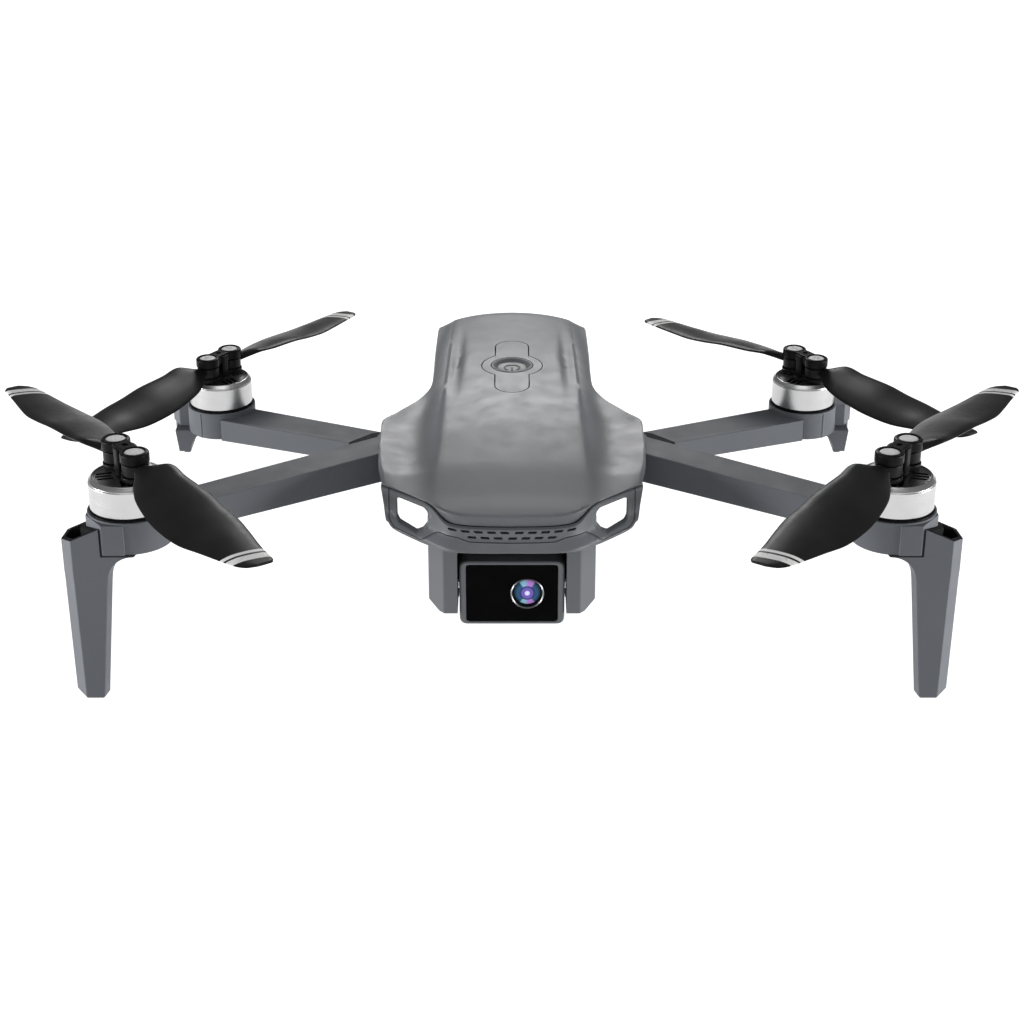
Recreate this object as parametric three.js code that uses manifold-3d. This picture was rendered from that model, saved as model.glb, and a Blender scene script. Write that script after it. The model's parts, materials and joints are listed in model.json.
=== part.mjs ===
// A folding camera drone: body shells, four folding arms with motors and hinged propeller blades, a tilting
// camera, a rear battery with two latches, and a power button. Millimetres, +Z up, nose towards -Y.
// Most pieces are laid out with y = 0 at the front motors; the whole model is then slid to centre it.
import * as THREE from "three";
import { mergeVertices } from "three/addons/utils/BufferGeometryUtils.js";
import Module from "manifold-3d";

const wasm = await Module();
wasm.setup();

// ---- driving dimensions -------------------------------------------------------------------------------
const CENTRE_Y = 81.36; // from the front motors back to the middle of the whole outline
const GAP = 0.3; // between touching pieces
const WALL = 1.6;

const TOP = { front: 2, back: 155, rim: 51.7 };
const TUB = { front: 26.6, halfWidth: 19, bottom: 14.6, floor: 16.4, deckLow: 51.5, deckHigh: 52.7 };
const BAY = { halfWidth: 15.7, top: 38.2, back: 26.6 };
const CAMERA = { width: 30.3, low: 14.4, high: 34.5, front: 5, back: 21, lensX: 4.4, lensRadius: 4.8 };
const AXLE = { radius: 2, halfLength: 18.4, y: 13, z: (CAMERA.low + CAMERA.high) / 2 };
const BUTTON = { y: 94, floor: 58.2, top: 61.2, discRadius: 9.7, dishRadius: 6.7 };
const SPINE_PLATE = { width: 10.8, length: 45 };
const BATTERY = { halfWidth: 16.8, front: 80, back: 151, low: 20, high: 48 };
const TAIL_CAP = { front: 135, halfWidth: 19, low: 16.7, high: 50.9, corner: 2 };
const LATCH = { front: 136, back: 148, low: 28, high: 40, inner: 17.1, outer: 19.3, travel: 1 };

const PIN = { radius: 1.9, head: 3.4 };
const MOTOR = { bell: 11, bellHeight: 8, chamfer: 1.1, pod: 12.6, podHeight: 9.5, shaft: 1.2 };
const HUB = { spacing: 11.8, boss: 4.1, screw: 2.8, bladeSlot: 3.9, top: 17.8 };
const BLADE_LENGTH = 70;
// The hinged blades hang loose; the rear right pair rests a little round from square to its hub.
const LOOSE_BLADES = { rear_right: { a: 10.5, b: 6 } };

// Each corner: motor and hinge places on the +X side, heights, and which way its hub points.
const CORNERS = {
  front: {
    motor: [106.9, 0], hinge: [33, 58], bellLow: 55.2, armTop: 51, armDepth: [9.1, 8], armWidth: 11.5,
    hubAngle: 54.6, spin: -1, knuckle: 8.6,
  },
  rear: {
    motor: [103.8, 160.8], hinge: [27, 124], bellLow: 23.3, armTop: 19.3, armDepth: [6.3, 6.3], armWidth: 13.3,
    hubAngle: 122.6, spin: 1, knuckle: 7.2,
  },
};

// ---- shape helpers ------------------------------------------------------------------------------------
const radians = THREE.MathUtils.degToRad;

// Straight-line interpolation through [place, value] pairs.
function along(pairs, place) {
  const next = pairs.findIndex(([at]) => at >= place);
  if (next < 0) return pairs.at(-1)[1];
  if (next === 0) return pairs[0][1];
  const [a, from] = pairs[next - 1];
  const [b, to] = pairs[next];
  return from + ((to - from) * (place - a)) / (b - a);
}

// The same, eased through the pairs so that a lofted surface has no creases.
function smooth(pairs) {
  const curve = new THREE.CatmullRomCurve3(pairs.map(([at, value]) => new THREE.Vector3(at, value, 0)));
  const dense = curve.getPoints(pairs.length * 12).map((p) => [p.x, p.y]);
  return (place) => along(dense, place);
}

function toSolid(geometry) {
  const bare = geometry.clone();
  bare.deleteAttribute("normal");
  bare.deleteAttribute("uv");
  const merged = mergeVertices(bare, 1e-4);
  return new wasm.Manifold(
    new wasm.Mesh({
      numProp: 3,
      vertProperties: new Float32Array(merged.attributes.position.array),
      triVerts: new Uint32Array(merged.index.array),
    }),
  );
}

function toGeometry(solid) {
  const mesh = solid.getMesh();
  const geometry = new THREE.BufferGeometry();
  geometry.setAttribute("position", new THREE.BufferAttribute(mesh.vertProperties, 3));
  geometry.setIndex(new THREE.BufferAttribute(mesh.triVerts, 1));
  const flat = geometry.toNonIndexed();
  flat.computeVertexNormals();
  return flat;
}

const join = (first, ...rest) => rest.reduce((sum, solid) => sum.add(solid), first);
const cut = (first, ...rest) => rest.reduce((left, solid) => left.subtract(solid), first);

function box([x0, x1], [y0, y1], [z0, z1]) {
  const geometry = new THREE.BoxGeometry(x1 - x0, y1 - y0, z1 - z0);
  return toSolid(geometry.translate((x0 + x1) / 2, (y0 + y1) / 2, (z0 + z1) / 2));
}

// A flat outline [[x, y], ...] raised from z0 to z1.
function prism(points, z0, z1) {
  const shape = new THREE.Shape(points.map(([x, y]) => new THREE.Vector2(x, y)));
  const geometry = new THREE.ExtrudeGeometry(shape, { depth: z1 - z0, bevelEnabled: false });
  return toSolid(geometry.translate(0, 0, z0));
}

// An outline in the front view [[x, z], ...], carried from y0 back to y1.
function frontPrism(points, y0, y1) {
  const shape = new THREE.Shape(points.map(([x, z]) => new THREE.Vector2(x, z)));
  const geometry = new THREE.ExtrudeGeometry(shape, { depth: y1 - y0, bevelEnabled: false });
  return toSolid(geometry.rotateX(Math.PI / 2).translate(0, y1, 0));
}

function post(x, y, radius, z0, z1, sides = 12) {
  const geometry = new THREE.CylinderGeometry(radius, radius, z1 - z0, sides);
  return toSolid(geometry.rotateX(Math.PI / 2).translate(x, y, (z0 + z1) / 2));
}

// A turned piece from [radius, z] pairs that start and end on the axis.
function turned(profile, sides = 24) {
  const points = profile.map(([radius, z]) => new THREE.Vector2(radius, z));
  return toSolid(new THREE.LatheGeometry(points, sides).rotateX(Math.PI / 2));
}

// A closed skin over rings of points that all have the same count, with flat or folded ends.
function loft(rings) {
  const count = rings[0].length;
  const positions = rings.flat(2);
  const index = [];
  for (let r = 0; r + 1 < rings.length; r++) {
    for (let i = 0; i < count; i++) {
      const a = r * count + i;
      const b = r * count + ((i + 1) % count);
      index.push(a, b, b + count, a, b + count, a + count);
    }
  }
  const last = (rings.length - 1) * count;
  for (let i = 1; i + 1 < count; i++) {
    index.push(0, i + 1, i);
    index.push(last, last + i, last + i + 1);
  }
  const geometry = new THREE.BufferGeometry();
  geometry.setAttribute("position", new THREE.Float32BufferAttribute(positions, 3));
  geometry.setIndex(index);
  const solid = toSolid(geometry);
  return solid.volume() < 0 ? toSolid(turnedOver(geometry)) : solid;
}

function turnedOver(geometry) {
  const index = [...geometry.index.array];
  for (let i = 0; i < index.length; i += 3) [index[i + 1], index[i + 2]] = [index[i + 2], index[i + 1]];
  geometry.setIndex(index);
  return geometry;
}

// A closed body between two sheets of the same grid: near(i, j) and far(i, j) give points.
function slab(columns, rows, near, far) {
  const positions = [];
  for (const sheet of [near, far]) {
    for (let j = 0; j < rows; j++) for (let i = 0; i < columns; i++) positions.push(...sheet(i, j));
  }
  const at = (sheet, i, j) => sheet * columns * rows + j * columns + i;
  const index = [];
  const quad = (a, b, c, d) => index.push(a, b, c, a, c, d);
  for (let j = 0; j + 1 < rows; j++) {
    for (let i = 0; i + 1 < columns; i++) {
      quad(at(0, i, j), at(0, i + 1, j), at(0, i + 1, j + 1), at(0, i, j + 1));
      quad(at(1, i, j), at(1, i, j + 1), at(1, i + 1, j + 1), at(1, i + 1, j));
    }
    quad(at(0, 0, j), at(0, 0, j + 1), at(1, 0, j + 1), at(1, 0, j));
    const end = columns - 1;
    quad(at(0, end, j), at(1, end, j), at(1, end, j + 1), at(0, end, j + 1));
  }
  for (let i = 0; i + 1 < columns; i++) {
    quad(at(0, i, 0), at(1, i, 0), at(1, i + 1, 0), at(0, i + 1, 0));
    const end = rows - 1;
    quad(at(0, i, end), at(0, i + 1, end), at(1, i + 1, end), at(1, i, end));
  }
  const geometry = new THREE.BufferGeometry();
  geometry.setAttribute("position", new THREE.Float32BufferAttribute(positions, 3));
  geometry.setIndex(index);
  const solid = toSolid(geometry);
  return solid.volume() < 0 ? toSolid(turnedOver(geometry)) : solid;
}

// A straight slot with round ends between two points.
function slotOutline([ax, ay], [bx, by], radius, steps = 6) {
  const angle = Math.atan2(by - ay, bx - ax);
  const arc = (x, y, from) =>
    Array.from({ length: steps + 1 }, (_, k) => {
      const turn = from + (Math.PI * k) / steps;
      return [x + radius * Math.cos(turn), y + radius * Math.sin(turn)];
    });
  return [...arc(bx, by, angle - Math.PI / 2), ...arc(ax, ay, angle + Math.PI / 2)];
}

// ---- materials ----------------------------------------------------------------------------------------
const finish = (color, roughness, metalness = 0) =>
  new THREE.MeshStandardMaterial({ color, roughness, metalness });
const FINISHES = {
  shellGrey: () => finish(0x7b7e82, 0.5),
  armGrey: () => finish(0x63676d, 0.5),
  trimGrey: () => finish(0x6b6f75, 0.5),
  satinBlack: () => finish(0x1b1c1e, 0.4),
  bladeBlack: () => finish(0x242527, 0.35),
  glassBlack: () => finish(0x08080a, 0.08),
  silver: () => finish(0xc9cacb, 0.3, 0.9),
  copper: () => finish(0x9a5a32, 0.35, 0.8),
  steel: () => finish(0xb9bbbd, 0.3, 0.9),
  lensBlue: () => finish(0x1d2a4a, 0.05),
  boardGreen: () => finish(0x1f4a34, 0.6),
  batteryBlack: () => finish(0x26282b, 0.55),
};

const model = new THREE.Group();
const sides = { left: new THREE.Group(), right: new THREE.Group() };
sides.left.scale.x = -1;
model.add(sides.left, sides.right);
model.position.y = -CENTRE_Y;

function place(name, solid, look, parent = model) {
  const mesh = new THREE.Mesh(toGeometry(solid), FINISHES[look]());
  mesh.name = name;
  parent.add(mesh);
}

// ---- upper shell --------------------------------------------------------------------------------------
const spineHeight = smooth([
  [0, 49.6], [6, 51], [12, 52.2], [30, 56], [60, 60], [100, 61.5], [140, 60], [150, 58.4], [158, 56.6],
]);
const halfWidthAt = smooth([
  [0, 37.5], [8, 38.4], [18, 39.5], [56, 39.3], [63, 37.4],
  [78, 29.6], [86, 26.9], [94, 25.9], [120, 25.4], [158, 25.2],
]);
const shoulderHeight = smooth([
  [0, 51.9], [10, 52.4], [20, 54], [50, 57], [70, 57.3], [95, 56.6], [140, 55.6], [158, 53.6],
]);
const ridgeAt = (y) => along([[0, 22.6], [155, 19.6]], y);
// The nose edge bends back away from the middle, and the tail edge bends forward.
const noseSweep = smooth([[0, 0], [9, 0.5], [15, 1.6], [19.5, 4], [24, 8.6], [30, 13.8], [37, 19.6], [41, 23]]);
const tailSweep = smooth([[0, 0], [10, -0.4], [16, -1.4], [21, -3.6], [24, -6.2], [27, -9.5]]);

function topHeight(x, y) {
  const across = Math.abs(x);
  const ridge = ridgeAt(y);
  const crown = spineHeight(y);
  const ridgeHeight = crown - 0.9;
  if (across <= ridge) return crown + (ridgeHeight - crown) * (across / ridge) ** 2;
  const run = (across - ridge) / Math.max(halfWidthAt(y) - ridge, 0.1);
  const fall = ridgeHeight - Math.min(shoulderHeight(y), ridgeHeight - 1);
  return ridgeHeight - fall * Math.min(run, 1.2) ** 0.8;
}

// The shell's lower edge: level along the sides, dipping at the nose to meet the vent bezel.
const noseRim = smooth([[0, 47.9], [15.5, 47.9], [17.5, 48.4], [21.6, 50.3], [28, 50.8], [41, 51.2]]);
function rimHeight(x, y) {
  const back = Math.min(Math.max((y - noseSweep(Math.abs(x)) - 6) / 8, 0), 1);
  return noseRim(Math.abs(x)) + (TOP.rim - noseRim(Math.abs(x))) * back;
}

// The filled outside of the upper shell, pulled in by `inset` all round for its hollow.
function upperBody(inset, lowEdge) {
  const rows = [0, 0.045, 0.1, 0.17, 0.25, 0.34, 0.4, 0.46, 0.52, 0.58, 0.66, 0.78, 0.9, 0.96, 1];
  const ridgeShare = 0.56;
  const columns = [0, 0.2, 0.4, ridgeShare, 0.78, 0.9, 1];
  const acrossBody = [...columns.slice(1).map((share) => -share).reverse(), ...columns];
  const point = (i, j, height) => {
    const row = rows[j];
    const spineY = TOP.front + inset + row * (TOP.back - TOP.front - 2 * inset);
    const reach = halfWidthAt(spineY) - inset;
    const ridge = ridgeAt(spineY);
    const share = Math.abs(acrossBody[i]);
    const beyond = (share - ridgeShare) / (1 - ridgeShare);
    const across = share <= ridgeShare ? (share / ridgeShare) * ridge : ridge + beyond * (reach - ridge);
    const noseShare = Math.max(1 - row / 0.4, 0);
    const tailShare = Math.max((row - 0.75) / 0.25, 0);
    const x = Math.sign(acrossBody[i]) * across;
    const y = spineY + noseSweep(across) * noseShare + tailSweep(across) * tailShare;
    return [x, y, height(x, y)];
  };
  return slab(
    acrossBody.length,
    rows.length,
    (i, j) => point(i, j, (x, y) => topHeight(x, y) - inset),
    (i, j) => point(i, j, lowEdge),
  );
}

const upperOutside = upperBody(0, rimHeight);
const crossOutline = (grow) => {
  const half = (SPINE_PLATE.length - SPINE_PLATE.width) / 2;
  const bar = slotOutline([0, BUTTON.y - half], [0, BUTTON.y + half], SPINE_PLATE.width / 2 + grow);
  return join(prism(bar, 50, 70), post(0, BUTTON.y, BUTTON.discRadius + grow, 50, 70, 28));
};
const upperShell = cut(upperOutside, upperBody(WALL, () => 44), crossOutline(GAP / 2));
place("upper_shell", upperShell, "shellGrey");

const topPlate = cut(
  upperOutside.intersect(crossOutline(-GAP / 2)),
  box([-30, 30], [40, 150], [40, BUTTON.floor]),
  post(0, BUTTON.y, BUTTON.dishRadius + GAP, 50, 70, 32),
);
place("top_plate", topPlate, "shellGrey");

const button = turned([
  [0, BUTTON.floor], [BUTTON.dishRadius - 1, BUTTON.floor], [BUTTON.dishRadius, BUTTON.floor + 0.6],
  [BUTTON.dishRadius, BUTTON.top], [BUTTON.dishRadius - 0.9, BUTTON.top], [3.6, BUTTON.top - 0.7],
  [0, BUTTON.top - 0.8],
]);
place("power_button", button.translate([0, BUTTON.y, 0]), "shellGrey");

// ---- nose fascia --------------------------------------------------------------------------------------
// Its outer face leans forward as it goes down, from the shell's edge to the lip under the vents.
const FASCIA_THICKNESS = 2;
const fasciaLean = smooth([[38, -3.3], [41.3, -3], [43.8, -1.2], [47.6, 0.3], [51.2, 1.7], [53, 2.2]]);
const fasciaFace = (x, z) => fasciaLean(z) + noseSweep(Math.abs(x)) - 0.35;
const fasciaLow = smooth([[0, 41.3], [15, 40.8], [24.5, 39.9], [31, 39], [35.5, 40], [37.5, 42.5]]);
const fasciaHigh = (x) => noseRim(Math.abs(x)) - GAP;
const FASCIA_COLUMNS = [37.4, 36, 34.5, 31.5, 28, 24.5, 21.6, 19, 16.5, 12, 6];
const fasciaColumns = [...FASCIA_COLUMNS.map((x) => -x), 0, ...FASCIA_COLUMNS.toReversed()];

function fasciaSlab(nearDepth, farDepth, low, high) {
  const steps = [0, 0.12, 0.3, 0.5, 0.75, 1];
  const sheet = (depth) => (i, j) => {
    const x = fasciaColumns[i];
    const z = low(Math.abs(x)) + steps[j] * (high(x) - low(Math.abs(x)));
    return [x, fasciaFace(x, z) + depth, z];
  };
  return slab(fasciaColumns.length, steps.length, sheet(nearDepth), sheet(farDepth));
}

const WINDOW = [
  [23.8, 46.6], [24.2, 48.2], [25.2, 49], [32.6, 49.3], [33.3, 48.8],
  [33.2, 43.6], [32.4, 42.7], [27.2, 41.9], [25.4, 42.8], [24.1, 44.4],
];
const windowHole = (side) => frontPrism(WINDOW.map(([x, z]) => [side * x, z]), -10, 32);

function ventSlots() {
  const rows = [{ count: 10, z: 46.5 }, { count: 7, z: 44.7 }];
  const pitch = 3.7;
  const half = { length: 1.2, height: 0.28 };
  return rows.flatMap(({ count, z }) =>
    Array.from({ length: count }, (_, k) => {
      const x = (k - (count - 1) / 2) * pitch;
      return box([x - half.length, x + half.length], [-6, 16], [z - half.height, z + half.height]);
    }),
  );
}

// The inset bezel carries the vents and frames both windows; a fine seam parts it from the bumper.
const BEZEL_LOW = [[35.6, 43], [34, 41.6], [26, 40.9], [21, 44.2], [15.4, 44.1], [12.2, 43.4]];
function bezelOutline(grow) {
  const high = [[35.6 + grow, 54], [-35.6 - grow, 54]];
  const low = BEZEL_LOW.map(([x, z]) => [x + (x > 35 ? grow : 0), z - grow]);
  return [...high, ...low.map(([x, z]) => [-x, z]), ...low.toReversed()];
}
const fascia = fasciaSlab(0, FASCIA_THICKNESS, fasciaLow, fasciaHigh);
const bezelRegion = (grow) => frontPrism(bezelOutline(grow), -10, 32);
place(
  "vent_bezel",
  cut(fascia.intersect(bezelRegion(-GAP / 2)), windowHole(-1), windowHole(1), ...ventSlots()),
  "trimGrey",
);
place("front_bumper", cut(fascia, bezelRegion(GAP / 2)), "trimGrey");

// ---- lower shell --------------------------------------------------------------------------------------
const tubOutline = [
  [-24.2, 10], [-19.7, 4.6], [19.7, 4.6], [24.2, 10], [24.2, 24], [TUB.halfWidth, 33],
  [TUB.halfWidth, 148], [17.4, 150], [-17.4, 150], [-TUB.halfWidth, 148], [-TUB.halfWidth, 33], [-24.2, 24],
];
const deckReach = (y) => halfWidthAt(y) - WALL - GAP - Math.max(38 - y, 0) * 0.22;
const deckStations = [34, 40, 48, 56, 62, 70, 78, 86, 94, 110, 130, 142];
const deckOutline = [
  ...deckStations.map((y) => [deckReach(y), y]), [18.5, 149.8], [-18.5, 149.8],
  ...deckStations.toReversed().map((y) => [-deckReach(y), y]),
];
// Both lower long edges are chamfered.
const tubSection = [[-30, 60], [-30, 24], [-16, TUB.bottom], [16, TUB.bottom], [30, 24], [30, 60]];
const lug = (x, y, radius, z0, z1) =>
  join(post(x, y, radius, z0, z1), box([18, x], [y - radius, y + radius], [z0, z1]));
const mirrored = (solid) => solid.mirror([1, 0, 0]);
const axleRod = (radius, halfLength) =>
  toSolid(
    new THREE.CylinderGeometry(radius, radius, 2 * halfLength, 20)
      .rotateZ(Math.PI / 2)
      .translate(0, AXLE.y, AXLE.z),
  );

// The side walls stop at the battery's tail cap; the floor and the deck carry on over and under it.
function lowerShell() {
  const block = prism(tubOutline, TUB.bottom, TUB.deckLow + 0.05).intersect(frontPrism(tubSection, -10, 170));
  const hollow = join(
    box([-17.2, 17.2], [TUB.front + WALL, 170], [TUB.floor, TUB.deckLow]),
    box([-30, 30], [TAIL_CAP.front - GAP, 170], [TUB.floor, TUB.deckLow]),
    box([-BAY.halfWidth, BAY.halfWidth], [-10, BAY.back], [0, BAY.top]),
    box([-30, 30], [-10, TUB.front], [46, 60]),
    box([-30, 30], [-10, 22], [TUB.bottom - 1, 18]),
  );
  const noseClearance = fasciaSlab(-20, FASCIA_THICKNESS + GAP, () => 38.6, () => 52);
  const front = lug(...CORNERS.front.hinge, 5.6, 40.3, 41.6);
  const rear = lug(...CORNERS.rear.hinge, 6, 20.3, 23.4);
  const pinHoles = [1, -1].flatMap((side) => [
    post(side * CORNERS.front.hinge[0], CORNERS.front.hinge[1], PIN.radius + GAP, 30, 60, 20),
    post(side * CORNERS.rear.hinge[0], CORNERS.rear.hinge[1], PIN.radius + GAP, 5, 30, 20),
  ]);
  const shell = join(
    cut(block, hollow, noseClearance),
    prism(deckOutline, TUB.deckLow, TUB.deckHigh),
    front, mirrored(front), rear, mirrored(rear),
  );
  return cut(shell, ...pinHoles, axleRod(AXLE.radius + GAP, AXLE.halfLength + 0.4));
}

place("lower_shell", lowerShell(), "trimGrey");

function hingePin(foot, headLow, tip) {
  const head = [[0, headLow], [PIN.head, headLow], [PIN.head, foot]];
  return turned([...head, [PIN.radius, foot], [PIN.radius, tip], [0, tip]], 12);
}

// ---- camera -------------------------------------------------------------------------------------------
function rounded(halfX, halfZ, corner, steps = 4) {
  const points = [];
  for (const [sx, sz, from] of [[1, -1, -90], [1, 1, 0], [-1, 1, 90], [-1, -1, 180]]) {
    for (let k = 0; k <= steps; k++) {
      const turn = radians(from + (90 * k) / steps);
      const x = sx * (halfX - corner) + corner * Math.cos(turn);
      points.push([x, sz * (halfZ - corner) + corner * Math.sin(turn)]);
    }
  }
  return points;
}
const camHalf = { x: CAMERA.width / 2, z: (CAMERA.high - CAMERA.low) / 2 };
const raised = (outline) => outline.map(([x, z]) => [x, z + AXLE.z]);
const alongY = (radius, y0, y1, sides = 20) =>
  toSolid(
    new THREE.CylinderGeometry(radius, radius, y1 - y0, sides).translate(CAMERA.lensX, (y0 + y1) / 2, AXLE.z),
  );

const glassOutline = raised(rounded(13.1, 9, 0.8, 2));
const housing = cut(
  frontPrism(raised(rounded(camHalf.x, camHalf.z, 2.2)), CAMERA.front, CAMERA.back),
  frontPrism(raised(rounded(13.1 + 0.2, 9.2, 1, 2)), CAMERA.front - 1, CAMERA.front + 1.2),
  alongY(CAMERA.lensRadius + GAP, CAMERA.front, CAMERA.front + 5.5),
  axleRod(AXLE.radius + GAP, 20),
);
place("camera_housing", housing, "trimGrey");
place(
  "camera_window",
  cut(frontPrism(glassOutline, CAMERA.front + 0.1, CAMERA.front + 0.9), alongY(CAMERA.lensRadius + 0.2, 0, 10)),
  "glassBlack",
);
place(
  "lens_ring",
  cut(
    alongY(CAMERA.lensRadius, CAMERA.front - 0.4, CAMERA.front + 4.6),
    alongY(CAMERA.lensRadius - 0.8, 0, CAMERA.front + 3),
  ),
  "silver",
);
const lensRadius = CAMERA.lensRadius - 0.8 - GAP;
const lensProfile = [[0, -1.3], [1.6, -1.1], [3, -0.6], [lensRadius, 0], [lensRadius, 2], [0, 2]];
const lens = toSolid(
  new THREE.LatheGeometry(
    lensProfile.map(([radius, depth]) => new THREE.Vector2(radius, depth)),
    16,
  ).translate(CAMERA.lensX, CAMERA.front + 0.7, AXLE.z),
);
place("lens_glass", lens, "lensBlue");
place("camera_axle", axleRod(AXLE.radius, AXLE.halfLength), "steel");

// ---- battery, latches and electronics -----------------------------------------------------------------
// The pack slides in under the deck; its tail cap closes the body and carries the two side latches.
const latchPocket = box(
  [LATCH.inner - LATCH.travel - GAP, 30],
  [LATCH.front - 0.4, LATCH.back + 0.4],
  [LATCH.low - 0.4, LATCH.high + 0.4],
);
const tailCapOutline = [
  [-TAIL_CAP.halfWidth, TAIL_CAP.front], [TAIL_CAP.halfWidth, TAIL_CAP.front],
  [TAIL_CAP.halfWidth, BATTERY.back - TAIL_CAP.corner], [TAIL_CAP.halfWidth - TAIL_CAP.corner, BATTERY.back],
  [TAIL_CAP.corner - TAIL_CAP.halfWidth, BATTERY.back], [-TAIL_CAP.halfWidth, BATTERY.back - TAIL_CAP.corner],
];
const batteryPack = join(
  box([-BATTERY.halfWidth, BATTERY.halfWidth], [BATTERY.front, TAIL_CAP.front + 1], [BATTERY.low, BATTERY.high]),
  prism(tailCapOutline, TAIL_CAP.low, TAIL_CAP.high),
);
place("battery_pack", cut(batteryPack, latchPocket, mirrored(latchPocket)), "batteryBlack");
const latch = box([LATCH.inner, LATCH.outer], [LATCH.front, LATCH.back], [LATCH.low, LATCH.high]);
for (const [side, group] of Object.entries(sides)) place(`battery_latch_${side}`, latch, "satinBlack", group);

place("main_board", box([-15.5, 15.5], [30, 76], [30, 31.6]), "boardGreen");
place("gps_module", box([-12, 12], [76, 100], [TUB.deckHigh + GAP, 57]), "boardGreen");

// ---- arms, legs, motors and propellers ----------------------------------------------------------------
function armSolid({ motor: [mx, my], hinge: [hx, hy], bellLow, armTop, armDepth, armWidth, knuckle }, block) {
  const angle = Math.atan2(my - hy, mx - hx);
  const normal = [-Math.sin(angle) * armWidth / 2, Math.cos(angle) * armWidth / 2];
  const ring = (x, y, depth) => {
    const corners = [[1, armTop - depth], [-1, armTop - depth], [-1, armTop], [1, armTop]];
    return corners.map(([side, z]) => [x + side * normal[0], y + side * normal[1], z]);
  };
  const beam = loft([ring(hx, hy, armDepth[0]), ring(mx, my, armDepth[1])]);
  const podTop = bellLow - 1;
  const podLow = podTop - MOTOR.podHeight;
  const pod = join(post(mx, my, MOTOR.pod, podLow, podTop, 20), prism(block, podLow, podTop - 0.4));
  const root = post(hx, hy, knuckle, armTop - armDepth[0], armTop, 16);
  return cut(
    join(beam, pod, root),
    post(hx, hy, PIN.radius + GAP, 0, 60, 12),
    post(mx, my, 3, podLow + 3, 70, 8),
  );
}

const frontBlock = [[106.9, -12.5], [113, -12.5], [118.6, -4.6], [118.6, 3.5], [112, 11.4], [104, 5]];
const rearBlock = [[110, 150], [116.2, 163], [116.2, 171.6], [108, 172.6], [100, 165]];

// The front leg stands outside the pod: a tapering column, a fillet under the pod and an open-topped channel.
function frontLeg() {
  const ring = (z, outer, inner) => [
    [inner, -12.5, z], [outer - 3.7, -12.5, z], [outer, -7, z],
    [outer - 1.2, -2.6, z], [inner + 1.5, -2.6, z], [inner - 0.8, -8.6, z],
  ];
  const podLow = CORNERS.front.bellLow - 1 - MOTOR.podHeight;
  const foot = [
    [0, 124.9, 116], [36, 125.3, 112.4], [40, 125.4, 111.4],
    [42.4, 125.4, 109.8], [43.8, 125.4, 107.4], [podLow - GAP, 125.4, 104.5],
  ];
  const column = loft(foot.map(([z, outer, inner]) => ring(z, outer, inner)));
  const channelOutline = [[113.5, -12.5], [121.7, -12.5], [125.4, -7], [124.6, -1.4], [119.1, -1.4], [119.1, -4.8]];
  const hollowOutline = [[115.6, -11.3], [121.1, -11.3], [124.2, -6.8], [123.6, -2.6], [120.2, -2.6], [120.2, -5.2]];
  const channel = cut(prism(channelOutline, podLow - GAP - 0.4, 56), prism(hollowOutline, 45.5, 60));
  const slope = toSolid(new THREE.BoxGeometry(60, 60, 20).rotateY(radians(-24)).translate(119, -8, 61.4));
  const podRoom = post(...CORNERS.front.motor, MOTOR.pod + GAP, podLow - GAP, 60, 28);
  return cut(join(column, channel), slope, podRoom);
}

function rearFoot() {
  const { bellLow } = CORNERS.rear;
  const podLow = bellLow - 1 - MOTOR.podHeight;
  const ring = (z, outer, inner) => [
    [inner, 168, z], [outer - 2.6, 168, z], [outer, 171, z],
    [outer - 1, 176.5, z], [inner + 1.4, 176.5, z], [inner, 172, z],
  ];
  const foot = [
    [0, 122, 117.2], [6, 122.3, 116.2], [9.5, 122.4, 114.6], [11, 122.4, 112.4], [podLow - GAP, 122.4, 108.5],
  ];
  const column = loft(foot.map(([z, outer, inner]) => ring(z, outer, inner)));
  const capOutline = [[116.6, 168], [119.8, 168], [122.4, 171], [121.4, 176.5], [117, 176.5], [116.6, 173]];
  return join(column, prism(capOutline, podLow - GAP - 0.4, podLow + 8));
}

function bellSolid() {
  const { bell, bellHeight, chamfer, shaft } = MOTOR;
  const top = bellHeight + chamfer;
  const cup = turned([
    [0, top - 9.4], [shaft, top - 9.4], [shaft, top - 1.3], [bell - 1.3, top - 1.3], [bell - 1.3, 0], [bell, 0],
    [bell, bellHeight], [bell - chamfer, top], [0, top],
  ], 20);
  const slots = [];
  for (let group = 0; group < 4; group++) {
    for (const lane of [-1, 0, 1]) {
      const slot = new THREE.BoxGeometry(3.6, 0.95, 4);
      slot.translate(6.6 - Math.abs(lane) * 0.4, lane * 1.75, top).rotateZ(radians(90 * group + 20));
      slots.push(toSolid(slot));
    }
  }
  return cut(cup, ...slots);
}

const statorSolid = () =>
  turned(
    [[1.7, -0.75], [10.6, -0.75], [10.6, -0.3], [8.6, 0.2], [8.6, 6.6], [3.4, 7.2], [1.7, 7.2], [1.7, -0.75]],
    14,
  );

// The hub holds both blade eyes between two plates; heights are above the underside of the bell.
function hubSolid() {
  const { spacing, boss, bladeSlot, top } = HUB;
  const half = spacing / 2;
  const base = MOTOR.bellHeight + MOTOR.chamfer + GAP;
  const bladeLow = top - 3 - bladeSlot;
  const neck = [[-half, -2.6], [half, -2.6], [half, 2.6], [-half, 2.6]];
  const plate = (z0, z1) =>
    join(post(half, 0, boss, z0, z1), post(-half, 0, boss, z0, z1), prism(neck, z0, z1));
  const web = prism([[-1.5, -3.2], [1.5, -3.2], [1.5, 3.2], [-1.5, 3.2]], base, top - 0.6);
  const screws = [half, -half].map((x) =>
    join(post(x, 0, HUB.screw + 0.35, top - 1, top + 1, 10), post(x, 0, 1.6, base - 1, top + 1, 6)),
  );
  return cut(join(plate(base, bladeLow), plate(bladeLow + bladeSlot, top), web), ...screws);
}

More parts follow.
